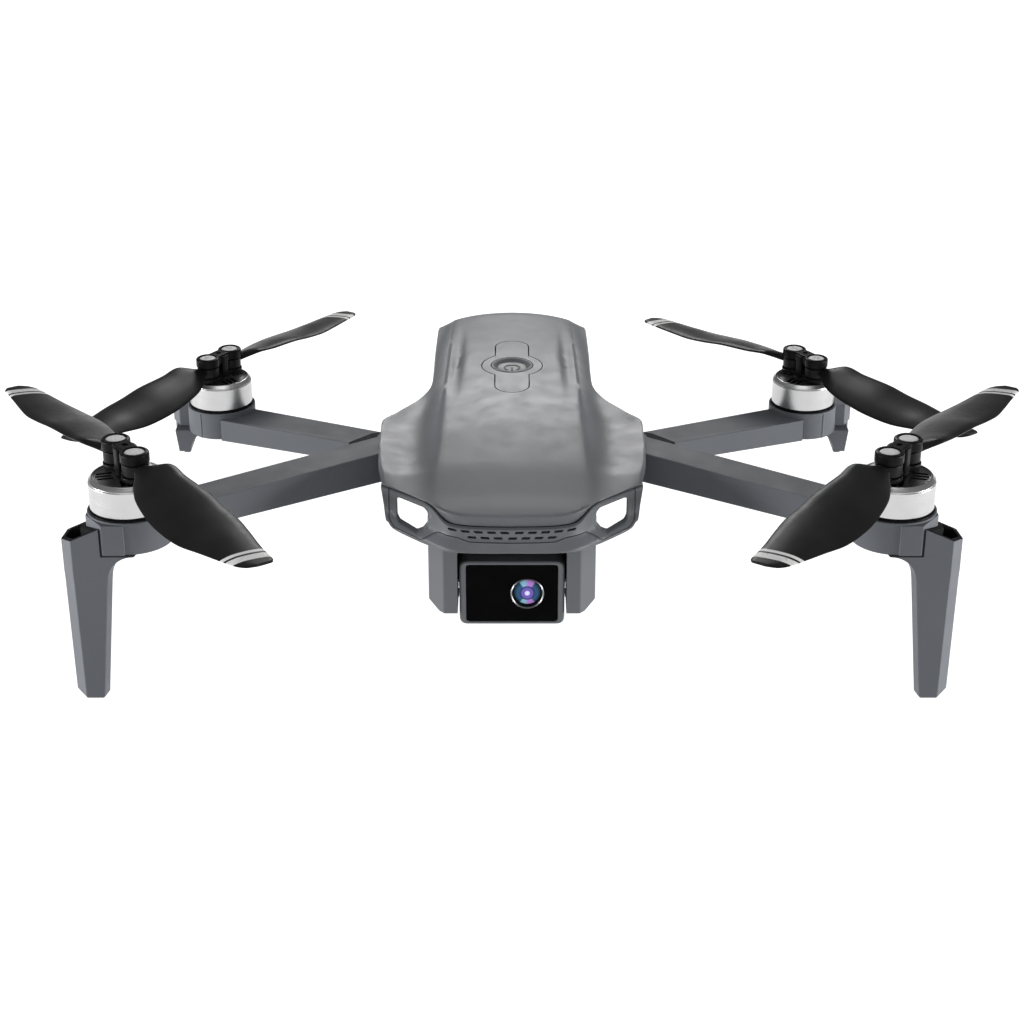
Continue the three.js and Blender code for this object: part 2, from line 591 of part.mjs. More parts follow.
function screwSolid() {
  const { top, screw } = HUB;
  return turned([[0, 10.2], [1.2, 10.2], [1.2, top - 0.7], [screw, top - 0.7], [screw, top], [0, top]], 10);
}

// A blade along +X from its eye. Each station: distance out, leading and trailing edge offsets and their heights.
const BLADE = [
  [2.6, 2.2, -2, 0, 0], [4.4, 3, -2.5, 0.4, -0.3], [6, 4.6, -3.4, 1.2, -0.9], [9, 7.1, -5.2, 2.5, -1.7],
  [16, 7.6, -8, 2, -2.4], [28, 7.8, -10.2, 0.7, -3.3], [36, 7.9, -10.5, -0.4, -3.8], [44, 8, -9.8, -1.1, -4.1],
  [52, 6.9, -8, -1.5, -3.6], [60, 5.5, -6.4, -1.9, -3], [66, 4.7, -5.1, -2, -2.5], [69, 4.3, -3.4, -2, -2.2],
  [BLADE_LENGTH, 3.6, -1.6, -2, -2],
];
function bladeSolid() {
  const ring = ([x, lead, trail, high, low]) => {
    const thick = Math.min(0.55 + (BLADE_LENGTH - x) * 0.008, 1);
    const at = (share, lift) => {
      const camber = 0.9 * Math.sin(Math.PI * share) * Math.min((BLADE_LENGTH - x) / 20, 1);
      return [x, lead + (trail - lead) * share, high + (low - high) * share + camber + lift];
    };
    const upper = [at(0, 0), at(0.2, thick), at(0.55, thick * 0.9), at(1, 0.15)];
    const lower = [at(1, -0.15), at(0.55, -thick * 0.4), at(0.2, -thick * 0.4)];
    return [...upper, ...lower];
  };
  const eyeHalf = HUB.bladeSlot / 2 - GAP;
  const eye = post(0, 0, 3.8, -eyeHalf, eyeHalf);
  const body = loft(BLADE.map(ring));
  return cut(join(eye, body), post(0, 0, 1.6, -5, 8, 6));
}

const shapes = {
  bell: bellSolid(),
  stator: statorSolid(),
  hub: hubSolid(),
  screw: screwSolid(),
  blade: bladeSolid(),
};
const bladePlane = HUB.top - 3 - HUB.bladeSlot / 2;

for (const [sideName, side] of Object.entries(sides)) {
  for (const [cornerName, corner] of Object.entries(CORNERS)) {
    const tag = `${cornerName}_${sideName}`;
    const front = cornerName === "front";
    place(`${tag}_arm`, armSolid(corner, front ? frontBlock : rearBlock), "armGrey", side);
    place(`${tag}_${front ? "leg" : "foot"}`, front ? frontLeg() : rearFoot(), "armGrey", side);
    const pin = front
      ? hingePin(40, 38.8, TUB.deckHigh)
      : hingePin(CORNERS.rear.armTop - CORNERS.rear.armDepth[0] - GAP, 11.2, 23.4);
    const atHinge = new THREE.Group();
    atHinge.position.set(...corner.hinge, 0);
    side.add(atHinge);
    place(`${tag}_hinge_pin`, pin, "steel", atHinge);

    const atMotor = new THREE.Group();
    atMotor.position.set(...corner.motor, corner.bellLow);
    atMotor.rotation.z = radians(corner.hubAngle);
    side.add(atMotor);
    place(`${tag}_motor_stator`, shapes.stator, "copper", atMotor);
    place(`${tag}_motor_bell`, shapes.bell, "silver", atMotor);
    place(`${tag}_prop_hub`, shapes.hub, "satinBlack", atMotor);
    for (const [letter, end] of [["a", 1], ["b", -1]]) {
      const pivotX = (end * HUB.spacing) / 2;
      place(`${tag}_pivot_screw_${letter}`, shapes.screw.translate([pivotX, 0, 0]), "steel", atMotor);
      const pivot = new THREE.Group();
      pivot.position.set(pivotX, 0, bladePlane);
      const loose = LOOSE_BLADES[tag]?.[letter] ?? 0;
      pivot.rotation.z = radians(loose + (end > 0 ? 0 : 180));
      pivot.scale.y = corner.spin;
      atMotor.add(pivot);
      place(`${tag}_blade_${letter}`, shapes.blade, "bladeBlack", pivot);
    }
  }
}

export default model;
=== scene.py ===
"""A folding camera drone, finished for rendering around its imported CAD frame.

Shapes are worked out in millimetres, nose towards -Y, with y = 0 at the front motors, and each piece is
moved into the row frame (metres) as it is placed. Corner pieces are made for the +X side and mirrored.
"""

import bisect
import json
import math

import bmesh
import bpy
from mathutils import Matrix, Vector


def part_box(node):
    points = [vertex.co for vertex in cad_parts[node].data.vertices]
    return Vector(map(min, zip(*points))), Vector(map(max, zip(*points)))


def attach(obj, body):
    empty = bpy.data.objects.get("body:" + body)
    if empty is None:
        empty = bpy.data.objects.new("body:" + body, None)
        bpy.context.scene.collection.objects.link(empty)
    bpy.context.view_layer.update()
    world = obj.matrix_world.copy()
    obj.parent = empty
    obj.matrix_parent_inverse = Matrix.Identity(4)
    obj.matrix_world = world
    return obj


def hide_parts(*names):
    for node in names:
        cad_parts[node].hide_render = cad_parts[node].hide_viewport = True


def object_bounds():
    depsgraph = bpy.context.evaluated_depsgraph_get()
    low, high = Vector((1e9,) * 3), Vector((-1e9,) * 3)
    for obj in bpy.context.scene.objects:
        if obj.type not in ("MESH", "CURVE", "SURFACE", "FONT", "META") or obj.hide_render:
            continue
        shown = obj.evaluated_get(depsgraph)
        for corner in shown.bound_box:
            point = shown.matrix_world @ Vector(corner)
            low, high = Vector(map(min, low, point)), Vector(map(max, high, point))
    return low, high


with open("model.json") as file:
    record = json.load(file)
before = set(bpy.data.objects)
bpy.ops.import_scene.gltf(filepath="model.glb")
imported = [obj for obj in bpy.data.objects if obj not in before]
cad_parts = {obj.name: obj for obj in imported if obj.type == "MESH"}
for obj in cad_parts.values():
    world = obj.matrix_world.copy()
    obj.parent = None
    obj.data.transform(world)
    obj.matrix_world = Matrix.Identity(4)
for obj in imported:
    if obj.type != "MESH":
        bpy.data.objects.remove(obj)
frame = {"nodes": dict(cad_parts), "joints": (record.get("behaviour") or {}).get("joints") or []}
cad_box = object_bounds()

MM = 0.001
JOINTS = {joint["name"]: joint for joint in frame["joints"]}


def joint_place(name):
    """Where a joint's axis stands, in millimetres in the row frame."""
    return Vector(JOINTS[name]["pos_m"]) / MM


def axis_at(name):
    """Where a joint's axis stands, in millimetres, with y = 0 at the front motors."""
    return joint_place(name) - Vector((0, NOSE_Y, 0))


def box_of(node):
    """Lowest and highest corner of a CAD node, in millimetres, with y = 0 at the front motors."""
    low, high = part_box(node)
    shift = Vector((0, NOSE_Y, 0))
    return low / MM - shift, high / MM - shift


# ---- sizes ----
NOSE_Y = joint_place("front_right_motor_spin").y
SEAM = 0.12  # half of the fine gap between two shells
PLATE_SEAM = 0.17
WALL = 1.6
SIDES = {"left": -1, "right": 1}

SHELL_LOW, SHELL_HIGH = box_of("upper_shell")
TOP_FRONT = SHELL_LOW.y
TOP_BACK = SHELL_HIGH.y
RIM = 51.7

BUTTON_LOW, BUTTON_HIGH = box_of("power_button")
BUTTON_Y = (BUTTON_LOW.y + BUTTON_HIGH.y) / 2
BUTTON_RADIUS = (BUTTON_HIGH.x - BUTTON_LOW.x) / 2
PLATE_DISC = 9.7
PLATE_BAR = {"width": 10.8, "length": 45}

CAMERA_LOW, CAMERA_HIGH = box_of("camera_housing")
CAMERA_MID = (CAMERA_LOW.z + CAMERA_HIGH.z) / 2
RING_LOW, RING_HIGH = box_of("lens_ring")
LENS_X = (RING_LOW.x + RING_HIGH.x) / 2
LENS_RADIUS = (RING_HIGH.x - RING_LOW.x) / 2

TUB = {
    "half": 19, "cheek": 24.2, "hollow": 17.2, "back": 150,
    "bottom": 14.6, "floor": 16.4, "cheek_low": 18, "chamfer": 24, "deck": 51.5,
}
# Each lug's hinge, radius, bottom and top.
LUGS = [("front_right_arm_fold", 5.6, 40.3, 41.6), ("rear_right_arm_fold", 6, 20.3, 23.4)]
AXLE_HOLE = {"shell": 2.2, "camera": 2.3}
TAIL_CAP_FRONT = 135
ACROSS = (-30, 30)  # wider than the body, for cuts right across it
BEYOND_TAIL = 170
BAY = {"half": 15.7, "top": 38.2, "back": 26.6}
BELLY = {"screw_x": 12.6, "screw_y": (34, 134), "sensor_y": 53, "grooves": (70, 94, 8)}
MOTOR = {"bell": 11, "height": 8, "chamfer": 1.1, "pod": 11.9, "pod_height": 9.5, "shaft": 1.2}
HUB = {"boss": 4.1, "screw": 2.8, "slot": 3.9, "top": 17.8, "plate": 3, "waist": 2.6}
BLADE_LENGTH = 70
BLADE_PLANE = HUB["top"] - HUB["plate"] - HUB["slot"] / 2
LOOSE_BLADES = {"rear_right_blade_a": 10.5, "rear_right_blade_b": 6}


# ---- curves and outlines ----
def curve(*points):
    """A smooth function through (place, value) points, level past both ends."""
    places = [place for place, _ in points]
    values = [value for _, value in points]
    last = len(points) - 1
    slopes = []
    for i in range(len(points)):
        before, after = max(i - 1, 0), min(i + 1, last)
        slopes.append((values[after] - values[before]) / (places[after] - places[before]))

    def at(place):
        if place <= places[0]:
            return values[0]
        if place >= places[-1]:
            return values[-1]
        i = bisect.bisect_right(places, place) - 1
        run = places[i + 1] - places[i]
        t = (place - places[i]) / run
        return (
            values[i] * (1 + 2 * t) * (1 - t) ** 2
            + values[i + 1] * t * t * (3 - 2 * t)
            + run * (slopes[i] * t * (1 - t) ** 2 - slopes[i + 1] * t * t * (1 - t))
        )

    return at


def mix(a, b, share):
    return a + (b - a) * share


def spread(low, high, count):
    """count + 1 even values from low to high."""
    return [mix(low, high, k / count) for k in range(count + 1)]


def arc(centre, radius, start, end, steps):
    """Points on a circle; angles in degrees."""
    turns = [math.radians(turn) for turn in spread(start, end, steps)]
    return [(centre[0] + radius * math.cos(turn), centre[1] + radius * math.sin(turn)) for turn in turns]


def round_corners(outline, radius, steps=4):
    """A closed outline with every corner turned into an arc."""
    points = []
    count = len(outline)
    for i, corner in enumerate(outline):
        here = Vector(corner)
        to_before = Vector(outline[i - 1]) - here
        to_after = Vector(outline[(i + 1) % count]) - here
        half = to_before.angle(to_after) / 2
        reach = min(radius / math.tan(half), 0.48 * to_before.length, 0.48 * to_after.length)
        start = here + to_before.normalized() * reach
        end = here + to_after.normalized() * reach
        for t in spread(0, 1, steps):
            points.append(tuple((1 - t) ** 2 * start + 2 * t * (1 - t) * here + t * t * end))
    return points


def inset(outline, distance):
    """A closed anticlockwise outline moved inwards."""
    count = len(outline)
    moved = []
    for i in range(count):
        here = Vector(outline[i])
        into = (here - Vector(outline[i - 1])).normalized()
        away = (Vector(outline[(i + 1) % count]) - here).normalized()
        normal = Vector((-into.y - away.y, into.x + away.x))
        scale = 2 / max(normal.length_squared, 0.5)
        moved.append(tuple(here + normal * scale * distance))
    return moved


def anticlockwise(outline):
    area = sum(a[0] * b[1] - b[0] * a[1] for a, b in zip(outline, outline[1:] + outline[:1]))
    return outline if area > 0 else outline[::-1]


def holds(outline, point):
    """Whether a point lies inside a closed outline, by counting the sides it would cross going towards +X."""
    crossings = 0
    for a, b in zip(outline, outline[1:] + outline[:1]):
        if (a[1] > point.y) != (b[1] > point.y):
            crossings += a[0] + (point.y - a[1]) / (b[1] - a[1]) * (b[0] - a[0]) > point.x
    return crossings % 2 == 1


def oblong(x, y):
    """A rectangle between two (low, high) pairs."""
    return [(x[0], y[0]), (x[1], y[0]), (x[1], y[1]), (x[0], y[1])]


def about(middle, half):
    """The (low, high) pair this far each side of a middle."""
    return middle - half, middle + half


def mirrored(right):
    """The right half of an outline, closed by its mirror image."""
    return right + [(-x, y) for x, y in reversed(right)]


def slot_outline(a, b, radius, steps=12):
    """A straight slot with round ends."""
    angle = math.degrees(math.atan2(b[1] - a[1], b[0] - a[0]))
    return arc(b, radius, angle - 90, angle + 90, steps) + arc(a, radius, angle + 90, angle + 270, steps)


# ---- shapes ----
def shape(vertices, faces):
    """A closed mesh in millimetres, its faces turned outwards."""
    mesh = bpy.data.meshes.new("shape")
    mesh.from_pydata([tuple(v) for v in vertices], [], faces)
    tidy = bmesh.new()
    tidy.from_mesh(mesh)
    bmesh.ops.recalc_face_normals(tidy, faces=tidy.faces)
    tidy.to_mesh(mesh)
    tidy.free()
    return mesh


def loft(rings, closed=False):
    """A skin over rings of equal counts: capped at both ends, or joined into a closed band."""
    count = len(rings[0])
    total = len(rings)
    faces = []
    for r in range(total if closed else total - 1):
        for i in range(count):
            a, b = r * count, (r + 1) % total * count
            j = (i + 1) % count
            faces.append((a + i, a + j, b + j, b + i))
    if not closed:
        faces.append(tuple(range(count))[::-1])
        faces.append(tuple(range((total - 1) * count, total * count)))
    return shape([point for ring in rings for point in ring], faces)


def pillow(outline, low, high, edge=0.4, low_edge=None, steps=3):
    """A flat outline raised from low to high, its top and bottom edges rounded."""
    outline = anticlockwise(outline)
    low_edge = edge if low_edge is None else low_edge
    levels = []
    for turn in spread(0, math.pi / 2, steps):
        levels.append((low_edge * (1 - math.sin(turn)), low + low_edge * (1 - math.cos(turn))))
    for turn in spread(math.pi / 2, 0, steps):
        levels.append((edge * (1 - math.sin(turn)), high - edge * (1 - math.cos(turn))))
    return loft([[(x, y, z) for x, y in inset(outline, step)] for step, z in levels])


def prism(outline, low, high):
    return loft([[(x, y, z) for x, y in outline] for z in (low, high)])


def turned(profile, steps=64):
    """A lathe piece round Z. The profile's (radius, z) points start and end on the axis."""
    vertices = [(0, 0, profile[0][1]), (0, 0, profile[-1][1])]
    faces = []
    rings = profile[1:-1]
    for radius, z in rings:
        for k in range(steps):
            turn = 2 * math.pi * k / steps
            vertices.append((radius * math.cos(turn), radius * math.sin(turn), z))
    for k in range(steps):
        after = (k + 1) % steps
        faces.append((0, 2 + after, 2 + k))
        top = 2 + (len(rings) - 1) * steps
        faces.append((1, top + k, top + after))
        for r in range(len(rings) - 1):
            low = 2 + r * steps
            faces.append((low + k, low + after, low + steps + after, low + steps + k))
    return shape(vertices, faces)


def soften(profile, radius, steps=3):
    """An open profile with its inner corners turned into arcs."""
    points = [profile[0]]
    for before, corner, after in zip(profile, profile[1:], profile[2:]):
        here = Vector(corner)
        back, on = Vector(before) - here, Vector(after) - here
        reach = min(radius, 0.45 * back.length, 0.45 * on.length)
        start, end = here + back.normalized() * reach, here + on.normalized() * reach
        for t in spread(0, 1, steps):
            points.append(tuple((1 - t) ** 2 * start + 2 * t * (1 - t) * here + t * t * end))
    return points + [profile[-1]]


def block(x, y, z):
    """A plain box, used for cutting."""
    return prism(oblong(x, y), *z)


def post(x, y, radius, low, high, edge=0.0, steps=64):
    profile = [(0, low), (radius, low), (radius, high), (0, high)]
    made = turned(soften(profile, edge) if edge else profile, steps)
    return moved(made, placed(x, y, 0))


def sheets(columns, rows, near, far):
    """A closed body between two grids of points: near(i, j) and far(i, j)."""
    vertices = [sheet(i, j) for sheet in (near, far) for j in range(rows) for i in range(columns)]
    size = columns * rows
    faces = []
    for j in range(rows - 1):
        for i in range(columns - 1):
            a = j * columns + i
            faces.append((a, a + 1, a + columns + 1, a + columns))
            faces.append((size + a, size + a + columns, size + a + columns + 1, size + a + 1))
    border = [(i, 0) for i in range(columns)]
    border += [(columns - 1, j) for j in range(1, rows)]
    border += [(i, rows - 1) for i in reversed(range(columns - 1))]
    border += [(0, j) for j in reversed(range(1, rows - 1))]
    loop = [j * columns + i for i, j in border]
    for a, b in zip(loop, loop[1:] + loop[:1]):
        faces.append((a, b, size + b, size + a))
    return shape(vertices, faces)


def moved(mesh, matrix):
    mesh.transform(matrix)
    if matrix.determinant() < 0:
        mesh.flip_normals()
    return mesh


def placed(x, y, z, turn=0.0, axis="Z"):
    """A turn about an axis, in radians, and then a move."""
    return Matrix.Translation((x, y, z)) @ Matrix.Rotation(turn, 4, axis)


UPRIGHT = Matrix(((1, 0, 0, 0), (0, 0, 1, 0), (0, 1, 0, 0), (0, 0, 0, 1)))


def upright(mesh):
    """An outline drawn in the front view (x, z), its height becoming depth along Y."""
    return moved(mesh, UPRIGHT)


def boolean(operation, first, *others):
    """The first shape cut by, joined with or kept within the others."""
    scene = bpy.context.scene.collection
    hosts = [bpy.data.objects.new("tool", mesh) for mesh in (first, *others)]
    for host in hosts:
        scene.objects.link(host)
    for tool in hosts[1:]:
        modifier = hosts[0].modifiers.new("tool", "BOOLEAN")
        modifier.operation = operation
        modifier.solver = "MANIFOLD"
        modifier.object = tool
    graph = bpy.context.evaluated_depsgraph_get()
    made = bpy.data.meshes.new_from_object(hosts[0].evaluated_get(graph))
    for host in hosts:
        bpy.data.objects.remove(host)
    return made


def cut(first, *others):
    return boolean("DIFFERENCE", first, *others)


def join(first, *others):
    return boolean("UNION", first, *others)


def common(first, *others):
    return boolean("INTERSECT", first, *others)


def bevel_edges(mesh, width, steps, angle=30, chosen=lambda middle: True):
    """The mesh with its sharp edges rounded, where the edge's middle is chosen."""
    work = bmesh.new()
    work.from_mesh(mesh)
    bmesh.ops.dissolve_limit(work, angle_limit=math.radians(0.3), verts=work.verts, edges=work.edges)
    sharp = [
        edge
        for edge in work.edges
        if edge.is_manifold
        and edge.calc_face_angle() > math.radians(angle)
        and chosen((edge.verts[0].co + edge.verts[1].co) / 2)
    ]
    bmesh.ops.bevel(work, geom=sharp, offset=width, segments=steps, profile=0.5, affect="EDGES")
    work.to_mesh(mesh)
    work.free()
    return mesh


# ---- materials ----
def set_range(node, *limits):
    """Sets a map range node's limits: from low, from high, to low, to high."""
    for socket, limit in zip(("From Min", "From Max", "To Min", "To Max"), limits):
        node.inputs[socket].default_value = limit


class Look:
    """A node material under construction: its tree, its shader, and short ways to add nodes."""

    def __init__(self, name, roughness, metallic=0.0, **sockets):
        self.material = bpy.data.materials.new(name)
        self.material.use_nodes = True
        self.tree = self.material.node_tree
        self.shader = self.tree.nodes["Principled BSDF"]
        self.shader.inputs["Roughness"].default_value = roughness
        self.shader.inputs["Metallic"].default_value = metallic
        for socket, value in sockets.items():
            self.shader.inputs[socket.replace("_", " ")].default_value = value
        self.place = self.node("ShaderNodeTexCoord").outputs["Object"]

    def node(self, kind, **settings):
        made = self.tree.nodes.new(kind)
        for key, value in settings.items():
            setattr(made, key, value)
        return made

    def link(self, source, target):
        self.tree.links.new(source, target)

    def noise(self, size_mm, detail=3.0, stretch=(1, 1, 1)):
        """Noise whose features are about size_mm across."""
        scaled = self.node("ShaderNodeMapping")
        scaled.inputs["Scale"].default_value = stretch
        self.link(self.place, scaled.inputs["Vector"])
        made = self.node("ShaderNodeTexNoise")
        made.inputs["Scale"].default_value = 1 / (size_mm * MM)
        made.inputs["Detail"].default_value = detail
        self.link(scaled.outputs["Vector"], made.inputs["Vector"])
        return made.outputs["Fac"]

    def between(self, value, low, high, to_low=0.0, to_high=1.0):
        """value carried from one range to another, and held within it."""
        made = self.node("ShaderNodeMapRange")
        set_range(made, low, high, to_low, to_high)
        self.link(value, made.inputs["Value"])
        return made.outputs["Result"]

    def math(self, operation, a, b):
        made = self.node("ShaderNodeMath", operation=operation)
        for socket, value in zip(made.inputs, (a, b)):
            if isinstance(value, (int, float)):
                socket.default_value = value
            else:
                self.link(value, socket)
        return made.outputs["Value"]

    def blend(self, share, a, b, mode="MIX"):
        """Colour a turning into colour b as share goes from 0 to 1."""
        made = self.node("ShaderNodeMix", data_type="RGBA", blend_type=mode)
        for socket, value in ((made.inputs["Factor"], share), (made.inputs["A"], a), (made.inputs["B"], b)):
            if isinstance(value, bpy.types.NodeSocket):
                self.link(value, socket)
            elif isinstance(value, (int, float)):
                socket.default_value = value
            else:
                socket.default_value = (*value, 1)
        return made.outputs["Result"]

    def bump(self, height, depth_mm):
        made = self.node("ShaderNodeBump")
        made.inputs["Strength"].default_value = 1.0
        made.inputs["Distance"].default_value = depth_mm * MM
        self.link(height, made.inputs["Height"])
        self.link(made.outputs["Normal"], self.shader.inputs["Normal"])

    def colour(self, value):
        self.link(value, self.shader.inputs["Base Color"])

    def rough(self, value):
        self.link(value, self.shader.inputs["Roughness"])


def shade(colour, factor):
    return tuple(channel * factor for channel in colour)


def moulded(name, colour, roughness=0.48, top=1.0, grain=0.006, edge=1.28, specular=0.5):
    """Fine-grained moulded plastic: a cloudy tint, a spark-eroded grain, and paler convex edges that are
    partly rubbed wear and partly a painted edge highlight.
    top is how much darker or paler the level faces are painted than the upright ones: painted shade that
    stands for how the light falls on them."""
    look = Look(name, roughness, Specular_IOR_Level=specular)
    cloud = look.between(look.noise(28, 2), 0.3, 0.7)
    base = look.blend(cloud, shade(colour, 0.95), shade(colour, 1.05))
    # Painted shade: level faces take a darker or paler colour in place of the light that falls on them.
    if top != 1.0:
        facing = look.node("ShaderNodeSeparateXYZ")
        look.link(look.node("ShaderNodeNewGeometry").outputs["Normal"], facing.inputs["Vector"])
        level = look.between(facing.outputs["Z"], 0.75, 0.97)
        base = look.blend(level, base, look.blend(1.0, base, (top, top, top), "MULTIPLY"))
    speck = look.between(look.noise(0.5, 2), 0.35, 0.65)
    base = look.blend(0.05, base, look.blend(speck, shade(colour, 0.7), shade(colour, 1.3)))
    # Paler convex edges, partly rubbed wear and partly a painted edge highlight; edge says how pale they
    # turn.
    point = look.node("ShaderNodeNewGeometry").outputs["Pointiness"]
    raised = look.between(point, 0.52, 0.6)
    wear_and_edge_highlight = look.math("MULTIPLY", raised, look.between(look.noise(3), 0.3, 0.6, 0.4, 1))
    look.colour(look.blend(wear_and_edge_highlight, base, shade(colour, edge)))
    look.rough(look.between(look.noise(6), 0.3, 0.7, roughness - 0.04, roughness + 0.05))
    look.bump(look.noise(0.22, 2), grain)
    return look.material


def blade_plastic():
    """Satin black with two pale bands near the tip, and a finer gloss along the span."""
    look = Look("blade_black", 0.34, Specular_IOR_Level=0.1)
    across = look.node("ShaderNodeSeparateXYZ")
    look.link(look.node("ShaderNodeUVMap", uv_map="blade").outputs["UV"], across.inputs["Vector"])
    out = look.math("MULTIPLY", across.outputs["X"], BLADE_LENGTH)
    bowed = look.math("MULTIPLY", look.math("SUBTRACT", across.outputs["Y"], 0.2), 2.4)
    reach = look.math("ADD", out, bowed)
    bands = None
    for start, end in ((62.3, 63.7), (64.6, 67.4)):
        after = look.between(reach, start - 0.05, start + 0.05)
        before = look.between(reach, end - 0.05, end + 0.05, 1, 0)
        band = look.math("MULTIPLY", after, before)
        bands = band if bands is None else look.math("ADD", bands, band)
    cloud = look.between(look.noise(9, 3), 0.3, 0.7)
    black = look.blend(cloud, (0.011, 0.011, 0.0115), (0.015, 0.015, 0.0155))
    white = look.blend(look.between(look.noise(1.2), 0.25, 0.45), (0.62, 0.62, 0.61), (0.86, 0.86, 0.85))
    look.colour(look.blend(bands, black, white))
    look.rough(look.between(look.noise(2.4), 0.3, 0.7, 0.3, 0.37))
    look.bump(look.noise(0.35, 2), 0.004)
    return look.material


def gloss_black(name="hub_black", roughness=0.26):
    look = Look(name, roughness, Specular_IOR_Level=0.06)
    cloud = look.between(look.noise(5), 0.3, 0.7)
    look.colour(look.blend(cloud, (0.008, 0.008, 0.009), (0.013, 0.013, 0.014)))
    look.rough(look.between(look.noise(1.5), 0.3, 0.7, roughness - 0.04, roughness + 0.06))
    look.bump(look.noise(0.3, 2), 0.003)
    return look.material


def turned_metal(name, colour, roughness, streak=0.02):
    """Lathe-turned metal: fine rings of gloss along Z, with faint handling marks."""
    look = Look(name, roughness, 1.0, Anisotropic=0.4)
    rings = look.between(look.noise(0.5, 4, (0.02, 0.02, 2.0)), 0.3, 0.7)
    marks = look.between(look.noise(4), 0.35, 0.7)
    look.colour(look.blend(marks, shade(colour, 0.94), look.blend(rings, shade(colour, 0.97), colour)))
    look.rough(look.between(rings, 0, 1, roughness - 0.04, roughness + 0.06))
    look.bump(rings, streak)
    return look.material


def copper_wire():
    look = Look("stator_copper", 0.3, 1.0)
    lanes = look.node("ShaderNodeTexWave", wave_type="BANDS", bands_direction="Z")
    lanes.inputs["Scale"].default_value = 900
    lanes.inputs["Distortion"].default_value = 1.5
    look.link(look.place, lanes.inputs["Vector"])
    look.colour(look.blend(lanes.outputs["Fac"], (0.12, 0.03, 0.012), (0.5, 0.2, 0.09)))
    look.bump(lanes.outputs["Fac"], 0.1)
    return look.material


def cover_glass():
    """Hard black glass with a trace of fingerprints in its gloss."""
    look = Look("glass_black", 0.05, Specular_IOR_Level=0.02)
    smear = look.between(look.noise(5, 4), 0.4, 0.75)
    look.colour(look.blend(smear, (0.002, 0.002, 0.0022), (0.0035, 0.0035, 0.004)))
    look.rough(look.between(smear, 0, 1, 0.04, 0.11))
    return look.material


def coated_lens():
    """A coated front element with its reflections painted into the colour: a dark rim, blue and violet rings
    of painted reflection broken into paler sectors of painted highlight, and a painted bright highlight at
    the heart.
    """
    look = Look("lens_blue", 0.05, Specular_IOR_Level=0.05)
    apart = look.node("ShaderNodeSeparateXYZ")
    look.link(look.place, apart.inputs["Vector"])
    dx = look.math("SUBTRACT", apart.outputs["X"], LENS_X * MM)
    dz = look.math("SUBTRACT", apart.outputs["Z"], CAMERA_MID * MM)
    squares = look.math("ADD", look.math("MULTIPLY", dx, dx), look.math("MULTIPLY", dz, dz))
    radius = look.math("MULTIPLY", look.math("SQRT", squares, 0), 1 / (LENS_RADIUS * MM))
    angle = look.math("ARCTAN2", dz, dx)
    rings = look.node("ShaderNodeValToRGB")
    stops = [
        (0.0, (0.95, 0.95, 1.0)), (0.12, (0.7, 0.65, 1.0)), (0.2, (0.12, 0.08, 0.4)),
        (0.3, (0.22, 0.15, 0.6)), (0.4, (0.03, 0.05, 0.16)), (0.55, (0.05, 0.12, 0.25)),
        (0.75, (0.02, 0.07, 0.12)), (0.9, (0.004, 0.008, 0.012)),
    ]
    fill_ramp(rings.color_ramp, stops)
    look.link(radius, rings.inputs["Fac"])
    # Painted highlight: paler sectors across the rings.
    turns = look.math("COSINE", look.math("MULTIPLY", angle, 2), 0)
    sectors = look.between(turns, -0.25, -0.45)
    inside = look.between(radius, 0.82, 0.88, 1, 0)
    glow = look.math("MULTIPLY", look.math("MULTIPLY", sectors, inside), look.between(radius, 0.42, 0.5))
    # Painted reflection tint that shifts from one side of the lens to the other.
    side = look.between(dx, -0.0006, 0.0002)
    sheen = look.blend(side, (0.3, 0.6, 0.75), (0.55, 0.25, 0.75))
    colour = look.blend(look.math("MULTIPLY", glow, 0.85), rings.outputs["Color"], sheen)
    look.colour(colour)
    # The painted reflections also emit light, so the lens glows faintly though it is no lamp.
    look.link(colour, look.shader.inputs["Emission Color"])
    look.shader.inputs["Emission Strength"].default_value = 0.45
    return look.material


def fill_ramp(ramp, stops):
    while len(ramp.elements) < len(stops):
        ramp.elements.new(0.5)
    for element, (place, colour) in zip(ramp.elements, stops):
        element.position = place
        element.color = (*colour, 1)


def circuit_board():
    look = Look("board_green", 0.4)
    cells = look.node("ShaderNodeTexVoronoi", distance="MANHATTAN")
    cells.inputs["Scale"].default_value = 420
    look.link(look.place, cells.inputs["Vector"])
    tracks = look.between(cells.outputs["Distance"], 0.42, 0.5)
    look.colour(look.blend(tracks, (0.01, 0.05, 0.022), (0.03, 0.13, 0.06)))
    look.bump(tracks, 0.03)
    return look.material


def ink(name, colour):
    look = Look(name, 0.55)
    look.colour(look.blend(look.between(look.noise(0.8), 0.3, 0.7), shade(colour, 0.85), shade(colour, 1.1)))
    return look.material


